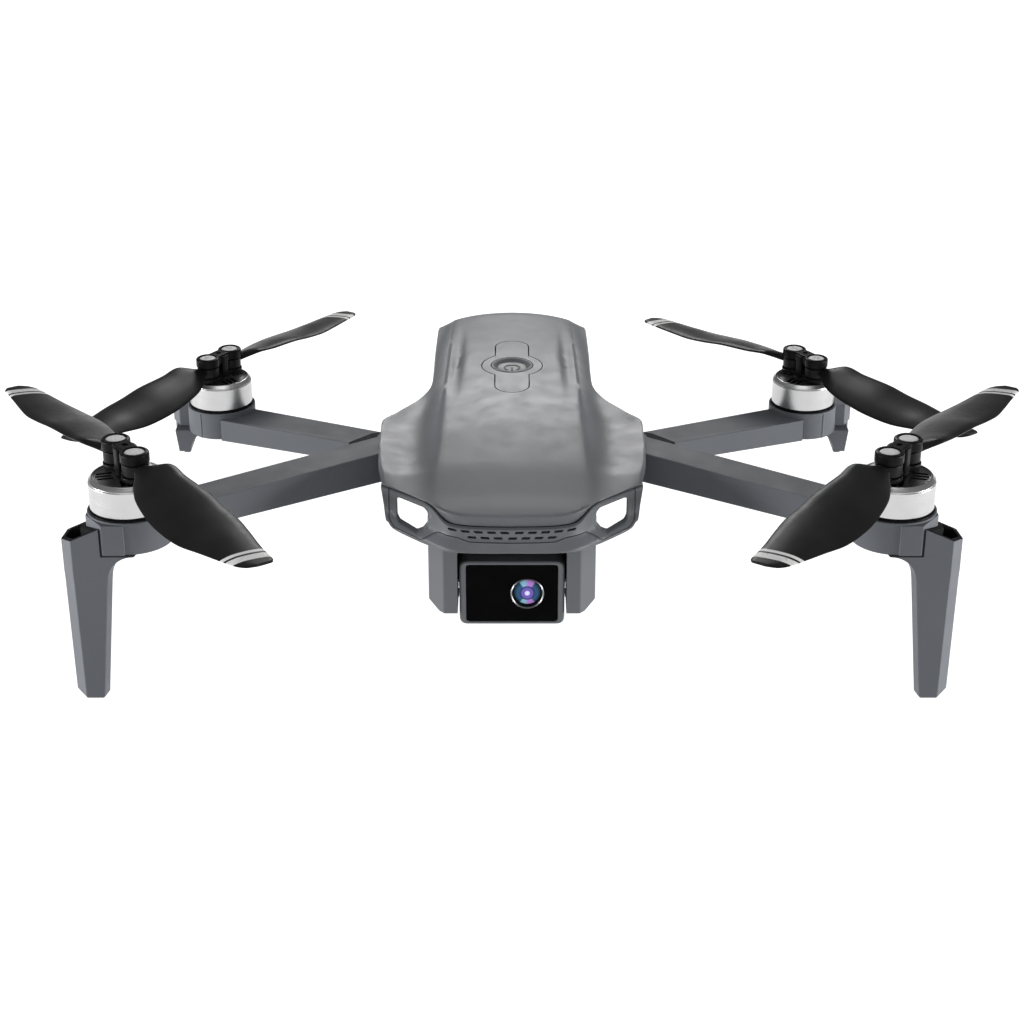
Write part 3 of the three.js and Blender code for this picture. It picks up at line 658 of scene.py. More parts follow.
SHELL_GREY = (0.148, 0.154, 0.166)
TRIM_GREY = (0.165, 0.174, 0.19)
ARM_GREY = (0.16, 0.17, 0.188)
LOOKS = {
    # The shell keeps the default edge, so its convex edges carry rubbed wear and a painted edge highlight.
    "shell_grey": moulded("shell_grey", SHELL_GREY, 0.4),
    "trim_grey": moulded("trim_grey", TRIM_GREY, 0.42, edge=1.02, specular=0.4),
    # The arms' level tops are painted darker than their sides: painted shade.
    "arm_grey": moulded("arm_grey", ARM_GREY, 0.5, top=0.68, edge=1.02, specular=0.2),
    "hub_black": gloss_black(),
    "blade_black": blade_plastic(),
    "bell_silver": turned_metal("bell_silver", (0.54, 0.54, 0.54), 0.3, 0.006),
    "steel": turned_metal("steel", (0.82, 0.82, 0.82), 0.24, 0.01),
    "stator_copper": copper_wire(),
    "glass_black": cover_glass(),
    "lens_blue": coated_lens(),
    "board_green": circuit_board(),
    "battery_black": moulded("battery_black", (0.02, 0.021, 0.023), 0.5, edge=1.02),
}
# A black that stands for painted shade in recesses, hollows and behind openings.
PAINTED_SHADE_BLACK = gloss_black("cavity_painted_shade", 0.6)
INK = ink("glyph_ink", (0.02, 0.02, 0.021))
SCREW_CAP = ink("screw_cap", (0.88, 0.88, 0.88))
RING_METAL = turned_metal("ring_metal", (0.3, 0.3, 0.31), 0.35)


# ---- placing pieces ----
def dress(thing, mesh_look, body, stands_for):
    """Gives a piece its material, and hangs it on its body in place of its CAD nodes."""
    faces = thing.data.polygons
    indices = [face.material_index for face in faces]
    thing.data.materials.clear()
    for look in mesh_look if isinstance(mesh_look, (list, tuple)) else [mesh_look]:
        thing.data.materials.append(look)
    faces.foreach_set("material_index", indices)
    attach(thing, body)
    if stands_for:
        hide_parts(*stands_for)


def darkened(mesh, inside):
    """Gives the faces whose middles lie inside to the piece's second material, which here is always the black
    of painted shade.
    """
    for face in mesh.polygons:
        face.material_index = int(inside(face.center))
    return mesh


def crease(mesh, angle):
    """Smooth shading, broken where two faces meet at more than the angle."""
    work = bmesh.new()
    work.from_mesh(mesh)
    for face in work.faces:
        face.smooth = True
    for edge in work.edges:
        edge.smooth = edge.is_manifold and edge.calc_face_angle() < math.radians(angle)
    work.to_mesh(mesh)
    work.free()


def piece(name, mesh, body, slot, side=1, at=None, look=None, stands_for=None, angle=35):
    """Puts a shape into the scene as a piece of the object, standing for the CAD node of the same name."""
    made = mesh.copy()
    made.name = name
    place = Matrix.Translation((0, NOSE_Y, 0)) @ Matrix.Scale(side, 4, (1, 0, 0))
    moved(made, Matrix.Scale(MM, 4) @ place @ (at or Matrix.Identity(4)))
    crease(made, angle)
    thing = bpy.data.objects.new(name, made)
    bpy.context.scene.collection.objects.link(thing)
    thing.modifiers.new("normals", "WEIGHTED_NORMAL").keep_sharp = True
    nodes = [name.removesuffix("_skin")] if stands_for is None else stands_for
    dress(thing, look or LOOKS[slot], body, nodes)


# ---- upper shell ----
spine_height = curve(
    (0, 49.6), (6, 51), (12, 52.2), (30, 56), (60, 60), (100, 61.5), (140, 60.8), (158, 60.2),
)
half_width = curve(
    (0, 37.5), (8, 38.4), (18, 39.4), (50, 39.8), (57, 39.8), (60.5, 39), (67.8, 34.7), (75.3, 30),
    (82.7, 27.1), (88.2, 25.9), (95, 25.5), (120, 25.5), (158, 25.1),
)
shoulder_height = curve(
    (0, 51.7), (10, 52.2), (20, 52.9), (50, 55.7), (70, 56.5), (95, 56.6), (140, 57), (158, 57),
)
nose_sweep = curve((0, 0), (9, 0.5), (15, 1.6), (19.5, 4), (24, 8.6), (30, 13.8), (37, 19.6), (41, 23))
tail_sweep = curve((0, 0), (10, -0.4), (16, -1.4), (21, -3.6), (24, -6.2), (27, -9.5))
nose_rim = curve((0, 47.1), (17.2, 47.1), (19, 47.7), (22.6, 50.2), (28, 50.8), (41, 51.2))
roof_drop = curve((0, 0.9), (110, 0.9), (155, 2.2))
RIDGE = {"front": 22.6, "back": 19.6, "round": 0.03, "flare": 3.2}
SCOOP = {"depth": 1.2, "start": 12, "run": 20, "narrow": 7, "wide": 17}
FLUTE = {"inset": 3.2, "width": 1.5, "depth": 0.85, "front": 62, "back": 138}


def ridge_at(y):
    return mix(RIDGE["front"], RIDGE["back"], y / TOP_BACK)


def flute_depth(across, y):
    """A shallow channel just inside each ridge, fading in and out along the back of the shell."""
    middle = ridge_at(y) - FLUTE["inset"]
    share = min(max((y - FLUTE["front"]) / (FLUTE["back"] - FLUTE["front"]), 0), 1)
    fade = math.sin(math.pi * share) ** 1.5
    return FLUTE["depth"] * fade * math.exp(-(((across - middle) / FLUTE["width"]) ** 2))


def top_height(x, y):
    """Height of the shell's outside: a gently crowned roof, ridges, and hollowed shoulders that fall away."""
    across = abs(x)
    ridge = ridge_at(y)
    crown = spine_height(y)
    drop = roof_drop(y)
    roof = crown - drop * (across / ridge) ** 2
    edge = crown - drop
    beyond, whole = across - ridge, max(half_width(y) - ridge, 0.1)
    flare = RIDGE["flare"]
    if beyond > 0:
        fall = (1 - math.exp(-beyond / flare)) / (1 - math.exp(-whole / flare))
    else:
        fall = beyond / flare
    shoulder = edge + (min(shoulder_height(y), edge - 1) - edge) * fall
    if beyond > 0:
        share = min(max((y - SCOOP["start"]) / SCOOP["run"], 0), 1)
        room = max((whole - SCOOP["narrow"]) / (SCOOP["wide"] - SCOOP["narrow"]), 0)
        shoulder -= SCOOP["depth"] * share * room * math.sin(math.pi * min(beyond / whole, 1))
    apart = roof - shoulder
    return (roof + shoulder - math.sqrt(apart * apart + RIDGE["round"])) / 2 - flute_depth(across, y)


def rim_height(x, y):
    """The shell's lower edge: level along the sides, dipping at the nose to meet the vent bezel."""
    back = min(max((y - nose_sweep(abs(x)) - 6) / 8, 0), 1)
    return mix(nose_rim(abs(x)), RIM, back)


SHELL_COLUMNS = 60
SHELL_ROWS = 120
RIDGE_SHARE = 0.56
TAIL_ROLL = {"start": 0.93, "drop": 3}
NOSE_SWEEP = {"length": 0.42, "power": 1.15}  # lengths are shares of the shell's own
TAIL_SWEEP = {"start": 0.72, "length": 0.28, "power": 1.3}


def shell_body(pulled_in, low_edge, columns=SHELL_COLUMNS, rows=SHELL_ROWS):
    """The outside of the upper shell as a filled body, pulled in all round for its hollow."""

    def point(i, j, height):
        row = j / rows
        row = mix(row, 0.5 - 0.5 * math.cos(math.pi * row), 0.35)
        spine_y = TOP_FRONT + pulled_in + row * (TOP_BACK - TOP_FRONT - 2 * pulled_in)
        reach = half_width(spine_y) - pulled_in
        ridge = ridge_at(spine_y)
        u = 2 * i / columns - 1
        if abs(u) <= RIDGE_SHARE:
            across = abs(u) / RIDGE_SHARE * ridge
        else:
            across = ridge + (abs(u) - RIDGE_SHARE) / (1 - RIDGE_SHARE) * (reach - ridge)
        x = math.copysign(across, u)
        nose = max(1 - row / NOSE_SWEEP["length"], 0) ** NOSE_SWEEP["power"]
        tail = max((row - TAIL_SWEEP["start"]) / TAIL_SWEEP["length"], 0) ** TAIL_SWEEP["power"]
        y = spine_y + nose_sweep(across) * nose + tail_sweep(across) * tail
        z = height(x, y)
        if height is not low_edge:
            z -= TAIL_ROLL["drop"] * max((row - TAIL_ROLL["start"]) / (1 - TAIL_ROLL["start"]), 0) ** 2.4
        return (x, y, z)

    return sheets(
        columns + 1,
        rows + 1,
        lambda i, j: point(i, j, lambda x, y: top_height(x, y) - pulled_in),
        lambda i, j: point(i, j, low_edge),
    )


def cross_outline(grow):
    """The plate over the button: a bar along the shell, cut here as bar and disc."""
    half = PLATE_BAR["length"] / 2 - PLATE_BAR["width"] / 2
    ends = (0, BUTTON_Y - half), (0, BUTTON_Y + half)
    bar = prism(slot_outline(*ends, PLATE_BAR["width"] / 2 + grow, 20), 50, 70)
    return join(bar, post(0, BUTTON_Y, PLATE_DISC + grow, 50, 70, steps=96))


def upper_shell():
    outside = shell_body(0, rim_height)
    is_top_edge = lambda middle: middle.z > rim_height(middle.x, middle.y) + 0.8
    outside = bevel_edges(outside, 0.7, 3, 40, is_top_edge)
    hollow = shell_body(WALL, lambda x, y: 44, 24, 60)
    shell = cut(outside.copy(), hollow, cross_outline(PLATE_SEAM))
    piece("upper_shell_skin", shell, "airframe", "shell_grey")

    floor = BUTTON_LOW.z
    plate = cut(
        common(outside, cross_outline(-PLATE_SEAM)),
        block((-30, 30), (40, 150), (40, floor)),
        post(0, BUTTON_Y, BUTTON_RADIUS + SEAM, 50, 70, steps=96),
    )
    piece("top_plate_skin", plate, "airframe", "shell_grey")


def power_button():
    """A dished key with a raised lip and a line-and-arc power sign."""
    low, high, radius = BUTTON_LOW.z, BUTTON_HIGH.z, BUTTON_RADIUS
    lip = [(0, low), (radius - 0.6, low), (radius, low + 0.6)]
    lip += [(radius, high + 0.1), (radius - 0.5, high + 0.35)]
    dish = [(radius - 1.1, high + 0.1), (4.6, high - 0.55), (2.4, high - 0.8), (0, high - 0.85)]
    button = turned(soften(lip + dish, 0.35), 96)
    piece("power_button_skin", moved(button, placed(0, BUTTON_Y, 0)), "power_button", "shell_grey")
    level = high - 0.86
    stroke = 0.28
    ring = arc((0, BUTTON_Y), 2.7, -52, 232, 40) + arc((0, BUTTON_Y), 2.7 - 2 * stroke, 232, -52, 40)
    tick = slot_outline((0, BUTTON_Y + 0.1), (0, BUTTON_Y - 2.2), stroke, 6)
    glyph = join(prism(ring, level, high - 0.68), prism(tick, level, high - 0.68))
    piece("power_sign", glyph, "power_button", "hub_black", look=INK, stands_for=[])


# ---- nose fascia ----
fascia_lean = curve(
    (38, -3.2), (41.3, -3.5), (42.3, -2.3), (43.6, -0.7), (44.5, -0.2), (47.6, 0.5), (51.2, 1.7), (53, 2.2),
)
fascia_low = curve((0, 41.3), (15, 40.8), (24.5, 39.8), (31, 40.2), (35.2, 41), (36.6, 42.2))
fascia_half = curve((40, 36.2), (51, 38.2))
FASCIA = {"thick": 2.2, "back": 0.35}
WINDOW = [
    (23.8, 46.6), (24.2, 48.2), (25.2, 49), (32.6, 49.3), (33.3, 48.8),
    (33.2, 43.6), (32.4, 42.7), (27.2, 41.9), (25.4, 42.8), (24.1, 44.4),
]
BEZEL_LOW = [(35.6, 43), (34, 41.6), (26, 40.9), (21, 44.2), (15.4, 44.1), (12.2, 43.4)]
VENTS = {"pitch": 3.7, "half": 1.25, "height": 0.34, "slant": 0.45}
VENT_ROWS = {46.05: 10, 44.5: 7}


def fascia_face(x, z):
    return fascia_lean(z) + nose_sweep(abs(x)) - FASCIA["back"]


def fascia_band(near, far, low, high, columns=112, rows=18):
    """Part of the curved nose band, between two depths behind its face."""

    def sheet(depth):
        def point(i, j):
            share = 2 * i / columns - 1
            nominal = abs(share) * fascia_half(45)
            z = mix(low(nominal), high(nominal), j / rows)
            x = share * fascia_half(z)
            return (x, fascia_face(x, z) + depth, z)

        return point

    return sheets(columns + 1, rows + 1, sheet(near), sheet(far))


def front_prism(outline, near=-12, far=34):
    return upright(prism(outline, near, far))


def bezel_region(grow):
    reach = BEZEL_LOW[0][0] + grow
    low = [(x + (grow if x > 35 else 0), z - grow) for x, z in BEZEL_LOW]
    outline = [(reach, 54), (-reach, 54)] + [(-x, z) for x, z in low] + low[::-1]
    return front_prism(round_corners(outline, 1.2, 3))


def window_ring(side):
    """The rolled edge round a window, from the bezel's face back through the wall."""
    opening = anticlockwise(round_corners(WINDOW, 1.1, 4))
    section = [
        (-1.0, 1.2), (-0.95, 0.14), (-0.7, -0.04), (-0.35, 0.02),
        (-0.1, 0.28), (0.0, 0.7), (0.05, 3.4), (-1.0, 3.4),
    ]
    rings = []
    for step, depth in section:
        ring = inset(opening, step)
        rings.append([(side * x, fascia_face(x, z) + depth, z) for x, z in ring])
    return loft(rings, closed=True)


def window_holes(grow):
    """Cutting bodies for both windows, a little larger than their openings."""
    outline = inset(anticlockwise(WINDOW), -grow)
    return [front_prism([(side * x, z) for x, z in outline]) for side in SIDES.values()]


def vent_slots():
    slots = []
    for z, count in VENT_ROWS.items():
        for k in range(count):
            x = (k - (count - 1) / 2) * VENTS["pitch"]
            half, tall, slant = VENTS["half"], VENTS["height"], math.copysign(VENTS["slant"], -x)
            outline = [(x - half, z - tall), (x + half, z - tall)]
            outline += [(x + half - slant, z + tall), (x - half - slant, z + tall)]
            slots.append(front_prism(round_corners(outline, 0.18, 2)))
    return slots


def nose_fascia():
    high = lambda x: nose_rim(abs(x)) - 2 * SEAM
    band = fascia_band(0, FASCIA["thick"], fascia_low, high)
    band = bevel_edges(band, 0.35, 3, 45)
    bezel = cut(common(band.copy(), bezel_region(-SEAM)), *window_holes(0.6), *vent_slots())
    bezel = join(bezel, *[window_ring(side) for side in SIDES.values()])
    piece("vent_bezel_skin", bezel, "airframe", "trim_grey")
    bumper = cut(band, bezel_region(SEAM))
    piece("front_bumper_skin", bumper, "airframe", "trim_grey")
    # Painted shade: a black sheet behind the vent slots stands for the shade inside the nose.
    near, far = FASCIA["thick"] + 0.2, FASCIA["thick"] + 1
    backing = fascia_band(near, far, lambda x: fascia_low(x) + 0.8, lambda x: high(x) - 0.4, 60, 4)
    backing = cut(backing, *window_holes(1))
    piece("vent_shade_backing", backing, "airframe", "hub_black", look=PAINTED_SHADE_BLACK, stands_for=[])


# ---- lower shell ----
def tub_block():
    """The lower body: flat cheeks beside the camera, straight flanks, and chamfered lower edges."""
    half, cheek = TUB["half"], TUB["cheek"]
    right = [(19.7, 4.6), (cheek, 10), (cheek, 24), (half, 33), (half, 148), (17.4, TUB["back"])]
    plan = prism(mirrored(right), TUB["bottom"] - 1, TUB["deck"])
    section = mirrored([(16, TUB["bottom"]), (30, TUB["chamfer"]), (30, 60)])
    body = common(plan, front_prism(section, -10, BEYOND_TAIL))
    body = cut(body, block(ACROSS, (-10, 22), (0, TUB["cheek_low"])))
    return bevel_edges(body, 0.45, 3, 20)


def lug(side, hinge, radius, low, high):
    x, y = side * hinge.x, hinge.y
    arm = pillow(oblong((side * 17, x), about(y, radius)), low, high, 0.3)
    return join(post(x, y, radius, low, high, 0.3), arm)


def belly_details():
    """Recessed screws at the corners of the belly and a small downward sensor window."""
    low = TUB["bottom"]
    places = [(side * BELLY["screw_x"], y) for side in SIDES.values() for y in BELLY["screw_y"]]
    recesses = [post(x, y, 2.1, low - 1, low + 0.8, steps=32) for x, y in places]
    for k, (x, y) in enumerate(places):
        screw = moved(screw_head(1.7), placed(x, y, low + 0.75, math.pi, "X"))
        piece(f"belly_screw_{k + 1}", screw, "airframe", "steel", stands_for=[])
    y = BELLY["sensor_y"]
    middle = 0, y
    sensor = pillow(rectangle(7, 5, 2.2, middle, 4), low - 1, low + 0.5, 0.2)
    window = pillow(rectangle(6.7, 4.7, 2, middle, 4), low + 0.2, low + 0.9, 0.2)
    eyes = [post(side * 3.3, y, 1.7, low - 0.1, low + 0.4, 0.15, 32) for side in SIDES.values()]
    piece("belly_sensor", join(window, *eyes), "airframe", "glass_black", stands_for=[])
    grooves = [block((-9, 9), (y, y + 1.1), (low - 1, low + 0.7)) for y in spread(*BELLY["grooves"])]
    return recesses + [sensor] + grooves


def lower_shell():
    deck = TUB["deck"]
    inner_height = TUB["floor"], deck + 0.2
    camera_bay = round_corners(oblong(about(0, BAY["half"]), (0, BAY["top"])), 1.5)
    hollow = [
        block(about(0, TUB["hollow"]), (BAY["back"] + WALL, BEYOND_TAIL), inner_height),
        upright(pillow(camera_bay, -10, BAY["back"], 0.5)),
        block(ACROSS, (-10, BAY["back"]), (46, 60)),
        fascia_band(-20, FASCIA["thick"] + 0.2, lambda x: 38.6, lambda x: 53, 60, 8),
        block(ACROSS, (TAIL_CAP_FRONT - 2 * SEAM, BEYOND_TAIL), inner_height),
    ]
    reach = lambda y: half_width(y) - WALL - 0.3 - max(38 - y, 0) * 0.22
    side_line = [(reach(y), y) for y in spread(34, 142, 36)] + [(18.5, 149.8)]
    plate = pillow(mirrored(side_line), deck - 0.2, deck + 1.2, 0.3)
    lugs, holes = [], []
    for joint, radius, low, high in LUGS:
        hinge = axis_at(joint)
        for side in SIDES.values():
            lugs.append(lug(side, hinge, radius, low, high))
            holes.append(post(side * hinge.x, hinge.y, 2.1, low - 2, 60 if low > 30 else high + 2, steps=32))
    holes.append(axle_post(AXLE_HOLE["shell"], 18.8))
    shell = cut(tub_block(), *hollow, *belly_details())
    shell = cut(join(shell, plate, *lugs), *holes)
    # Painted shade: the camera bay's inner faces take the black that stands for the shade inside it.
    bay = lambda p: abs(p.x) < BAY["half"] + 0.05 and 6.2 < p.y < BAY["back"] + 1 and p.z < BAY["top"] + 0.1
    looks = [LOOKS["trim_grey"], PAINTED_SHADE_BLACK]
    piece("lower_shell_skin", darkened(shell, bay), "airframe", "trim_grey", look=looks)


# ---- camera ----
RECESS = 0.45  # depth of a screw's cross
GLASS = {"half_x": 13.15, "half_z": 9, "gap": 0.15}
BAFFLE = {"steps": 4, "narrower": 0.13, "deeper": 0.24}


def rectangle(half_x, half_z, corner, middle=(0, 0), steps=5):
    """An outline about a middle, with round corners."""
    return round_corners(oblong(about(middle[0], half_x), about(middle[1], half_z)), corner, steps)


def axle_post(radius, half_length):
    """A cutting post along the camera's axle."""
    rod = moved(post(0, 0, radius, -half_length, half_length, steps=32), Matrix.Rotation(math.pi / 2, 4, "Y"))
    return moved(rod, Matrix.Translation(axis_at("camera_tilt")))


def along_y(profile, steps=64):
    """A turned piece whose profile is (radius, y), centred on the lens."""
    return moved(upright(turned(profile, steps)), placed(LENS_X, 0, CAMERA_MID))


def lens_bore(room, near, far):
    radius = LENS_RADIUS + room
    return along_y([(0, near), (radius, near), (radius, far), (0, far)])


def screw_head(radius, crossed=True):
    """A domed head, with a cross recess unless it is capped, its top face at z = 0."""
    dome = [(0, -1), (radius, -1), (radius, -0.28), (radius * 0.82, -0.06), (radius * 0.4, 0), (0, 0)]
    head = turned(soften(dome, 0.12), 48)
    if not crossed:
        return head
    bar = lambda turn: moved(
        pillow(rectangle(radius * 0.56, radius * 0.12, 0.12, steps=2), -RECESS, 1, 0.05, 0.1),
        Matrix.Rotation(turn, 4, "Z"),
    )
    return cut(head, bar(0), bar(math.pi / 2))


def camera():
    front, back = CAMERA_LOW.y, CAMERA_HIGH.y
    half_x = (CAMERA_HIGH.x - CAMERA_LOW.x) / 2
    half_z = (CAMERA_HIGH.z - CAMERA_LOW.z) / 2
    middle = (0, CAMERA_MID)
    body = upright(pillow(rectangle(half_x, half_z, 2.4, middle), front, back, 1.2, 0.7, 4))
    half_sizes = GLASS["half_x"] + GLASS["gap"], GLASS["half_z"] + GLASS["gap"]
    pocket = upright(pillow(rectangle(*half_sizes, 1.1, middle), front - 3, front + 1.1, 0.05, 0))
    barrel = lens_bore(0.2, front, front + 5.5)
    housing = cut(body, pocket, barrel, axle_post(AXLE_HOLE["camera"], 18))
    piece("camera_housing_skin", housing, "camera", "trim_grey")

    outline = rectangle(GLASS["half_x"], GLASS["half_z"], 1.0, middle)
    glass = upright(pillow(outline, front + 0.12, front + 0.95, 0.05, 0.22))
    piece("camera_window_skin", cut(glass, lens_bore(0.12, front - 2, front + 4)), "camera", "glass_black")

    outer, inner = LENS_RADIUS, LENS_RADIUS - 0.42
    rim = [(outer, front + 4.4), (outer, front - 0.2), (outer - 0.22, front - 0.4)]
    rim += [(inner, front - 0.2), (inner, front + 4.4)]
    ring = [[(r * math.cos(a), r * math.sin(a), y) for a in spread(0, 2 * math.pi, 72)[:-1]] for r, y in rim]
    ring = moved(upright(loft(ring, closed=True)), placed(LENS_X, 0, CAMERA_MID))
    piece("lens_ring_skin", ring, "camera", "bell_silver", look=RING_METAL)

    steps = [(0, front + 4.2), (inner - 0.02, front + 4.2), (inner - 0.02, front + 0.1)]
    for k in range(BAFFLE["steps"]):
        radius, depth = inner - 0.12 - BAFFLE["narrower"] * k, front + 0.12 + BAFFLE["deeper"] * k
        steps += [(radius, depth), (radius, depth + BAFFLE["deeper"])]
    baffle = along_y(steps + [(0, front + 1.15)], 72)
    piece("lens_baffle", baffle, "camera", "hub_black", look=LOOKS["hub_black"], stands_for=[])
    lens_radius = inner - 0.6
    dome = [(0, front + 2), (lens_radius, front + 2)]
    for turn in spread(0, math.pi / 2, 10)[:-1]:
        dome.append((lens_radius * math.cos(turn), front + 0.95 - 0.8 * math.sin(turn)))
    piece("lens_glass_skin", along_y(dome + [(0, front + 0.15)], 72), "camera", "lens_blue")


# ---- battery and latches ----
LATCH = {"travel": 1.3, "room": 0.4}
LAMPS = {"row": (-6, 6, 3), "z": 42.5, "key_x": 12}


def battery():
    low, high = box_of("battery_pack")
    half = high.x
    core = pillow(round_corners(oblong(about(0, 16.8), (low.y, TAIL_CAP_FRONT + 3)), 0.8), 20, 48, 0.8)
    outline = mirrored([(half, TAIL_CAP_FRONT), (half, high.y - 2), (half - 2, high.y)])
    body = join(core, pillow(round_corners(outline, 1.2), low.z, high.z, 0.8))
    latch_low, latch_high = box_of("battery_latch_right")
    pockets = []
    for side in SIDES.values():
        across = sorted((side * (latch_low.x - LATCH["travel"]), side * 30))
        along = latch_low.y - LATCH["room"], latch_high.y + LATCH["room"]
        tall = latch_low.z - LATCH["room"], latch_high.z + LATCH["room"]
        pockets.append(block(across, along, tall))
    back = high.y
    lamp_row = spread(*LAMPS["row"])
    grip = [upright(prism(slot_outline((-8, z), (8, z), 0.5, 6), back - 0.5, back + 2)) for z in (26, 28, 30)]
    lights = [upright(post(x, LAMPS["z"], 0.75, back - 0.4, back + 1, steps=24)) for x in lamp_row]
    key = upright(post(LAMPS["key_x"], LAMPS["z"], 1.9, back - 0.3, back + 1, steps=40))
    piece("battery_pack_skin", cut(body, *pockets, *grip, *lights, key), "battery", "battery_black")
    lamps = join(*[upright(post(x, LAMPS["z"], 0.65, back - 0.6, back - 0.1, 0.1, 24)) for x in lamp_row])
    piece("battery_lamps", lamps, "battery", "steel", look=ink("lamp_white", (0.6, 0.62, 0.6)), stands_for=[])
    button = upright(post(LAMPS["key_x"], LAMPS["z"], 1.6, back - 0.6, back, 0.2, 40))
    piece("battery_key", button, "battery", "hub_black", stands_for=[])

    outline = oblong((latch_low.x, latch_high.x), (latch_low.y, latch_high.y))
    latch = pillow(round_corners(outline, 0.5), latch_low.z, latch_high.z, 0.5)
    rib_row = spread(latch_low.y + 1.6, latch_high.y - 2.3, 6)
    latch = cut(latch, *[block((latch_high.x - 0.35, 30), (y, y + 0.7), (0, 60)) for y in rib_row])
    for name, side in SIDES.items():
        piece(f"battery_latch_{name}_skin", latch, f"latch_{name}", "hub_black", side=side)


# ---- arms, legs and feet ----
# Pairs are for the hinge end and the motor end. "ahead" and "behind" are the half widths each side of the
# line between the two, "short" is where the beam stops before the motor, and "knuckle" a radius.
CORNERS = {
    "front": {
        "top": (51, 52.6), "depth": (9.9, 7.4), "ahead": (5.75, 5.75), "behind": (5.75, 5.75),
        "short": 0, "knuckle": 8.6,
    },
    "rear": {
        "top": (19.4, 20.6), "depth": (6.5, 7.8), "ahead": (6.65, 11.3), "behind": (6.65, 3.5),
        "short": 6.7, "knuckle": 7.2,
    },
}
ROOT_GAP = [(16, 5.4), (15, 8), (5.4, 9.6), (2, 8.5), (6, 4.7)]
BLOCKS = {
    "front": [(106.9, -12.5), (113, -12.5), (118.6, -4.6), (118.6, 3.5), (112, 11.4), (104, 5)],
    "rear": [(110, 150), (116.2, 163), (116.2, 171.6), (108, 172.6), (100, 165)],
}


def corner_places(corner):
    """Hinge, motor and first blade pivot of the +X corner, with y = 0 at the front motors."""
    return [axis_at(f"{corner}_right_{name}") for name in ("arm_fold", "motor_spin", "blade_a_fold")]


def bell_low(corner):
    return corner_places(corner)[1].z - MOTOR["height"] / 2


def pod_heights(corner):
    """Bottom and top of the pod that carries a corner's motor."""
    top = bell_low(corner) - 1
    return top - MOTOR["pod_height"], top


def beam(corner):
    """A straight arm with a box section, from its hinge to just short of its motor's middle."""
    sizes = CORNERS[corner]
    hinge, motor, _ = corner_places(corner)
    run = Vector((motor.x - hinge.x, motor.y - hinge.y)).normalized()
    normal = Vector((-run.y, run.x))
    places = Vector((hinge.x, hinge.y)), Vector((motor.x, motor.y)) - run * sizes["short"]
    rings = []
    for k, place in enumerate(places):
        behind, ahead, top = sizes["behind"][k], -sizes["ahead"][k], sizes["top"][k]
        low = top - sizes["depth"][k]
        section = round_corners([(behind, low), (behind, top), (ahead, top), (ahead, low)], 0.35, 3)
        rings.append([(place.x + normal.x * u, place.y + normal.y * u, z) for u, z in section])
    return loft(rings)


def arm(corner):
    sizes = CORNERS[corner]
    hinge, motor, _ = corner_places(corner)
    pod_low, pod_top = pod_heights(corner)
    top = sizes["top"][0]
    solid = join(
        beam(corner),
        post(motor.x, motor.y, MOTOR["pod"], pod_low, pod_top, 0.35, 96),
        pillow(round_corners(BLOCKS[corner], 0.5), pod_low, pod_top - 0.4, 0.3),
        post(hinge.x, hinge.y, sizes["knuckle"], top - sizes["depth"][0], top, 0.4, 72),
    )
    return cut(
        solid,
        post(hinge.x, hinge.y, 2.2, 0, 60, steps=32),
        post(motor.x, motor.y, 3, pod_low + 3, 70, steps=32),
    )


def root_gap_shade():
    """A black piece of painted shade in the recess behind the front arm's knuckle, drawn along and across the
    arm.
    """
    hinge, motor, _ = corner_places("front")
    turn = math.atan2(motor.y - hinge.y, motor.x - hinge.x)
    place = placed(hinge.x, hinge.y, 0, turn)
    top = CORNERS["front"]["top"][0]
    return moved(pillow(round_corners(ROOT_GAP, 0.5), top - 2.2, top - 0.1, 0.2), place)


def stack(sections, outline_at):
    """A tapering column lofted through (z, outer, inner) sections with rounded corners."""
    rings = []
    for z, outer, inner in sections:
        rings.append([(x, y, z) for x, y in round_corners(outline_at(outer, inner), 0.5, 3)])
    return loft(rings)


def fillet_sections(start, end, outer, inner_low, inner_high, steps=10):
    """Sections that sweep the inner face out in a quarter round under the pod."""
    sections = []
    for turn in spread(0, math.pi / 2, steps):
        inner = mix(inner_low, inner_high, 1 - math.cos(turn))
        sections.append((mix(start, end, math.sin(turn)), outer, inner))
    return sections


def front_leg():
    motor = corner_places("front")[1]
    pod_low, _ = pod_heights("front")
    outline = lambda outer, inner: [
        (inner, -12.5), (outer - 3.7, -12.5), (outer, -7),
        (outer - 1.2, -2.6), (inner + 1.5, -2.6), (inner - 0.8, -8.6),
    ]
    sections = [(0, 124.7, 116.3), (0.35, 124.9, 116), (36, 125.3, 112.4)]
    sections += fillet_sections(37, pod_low - 0.3, 125.4, 112.2, 104.5)[1:]
    column = stack(sections, outline)
    channel = [(113.5, -12.5), (121.7, -12.5), (125.4, -7), (124.6, -1.4), (119.1, -1.4), (119.1, -4.8)]
    hollow = [(115.6, -11.3), (121.1, -11.3), (124.2, -6.8), (123.6, -2.6), (120.2, -2.6), (120.2, -5.2)]
    slope = moved(
        block((-30, 30), (-30, 30), (-10, 10)),
        placed(119, -8, 61.4, math.radians(24), "Y"),
    )
    leg = cut(
        join(column, prism(round_corners(channel, 0.4, 3), pod_low - 0.8, 56)),
        prism(round_corners(hollow, 0.4, 3), 45.5, 60),
        slope,
        post(motor.x, motor.y, MOTOR["pod"] + 0.3, pod_low - 0.3, 60, steps=96),
    )
    # Painted shade: the hollow at the leg's top takes the black that stands for its shade.
    reach = inset(hollow, -0.25)
    return darkened(leg, lambda p: p.z > 45 and holds(reach, p))


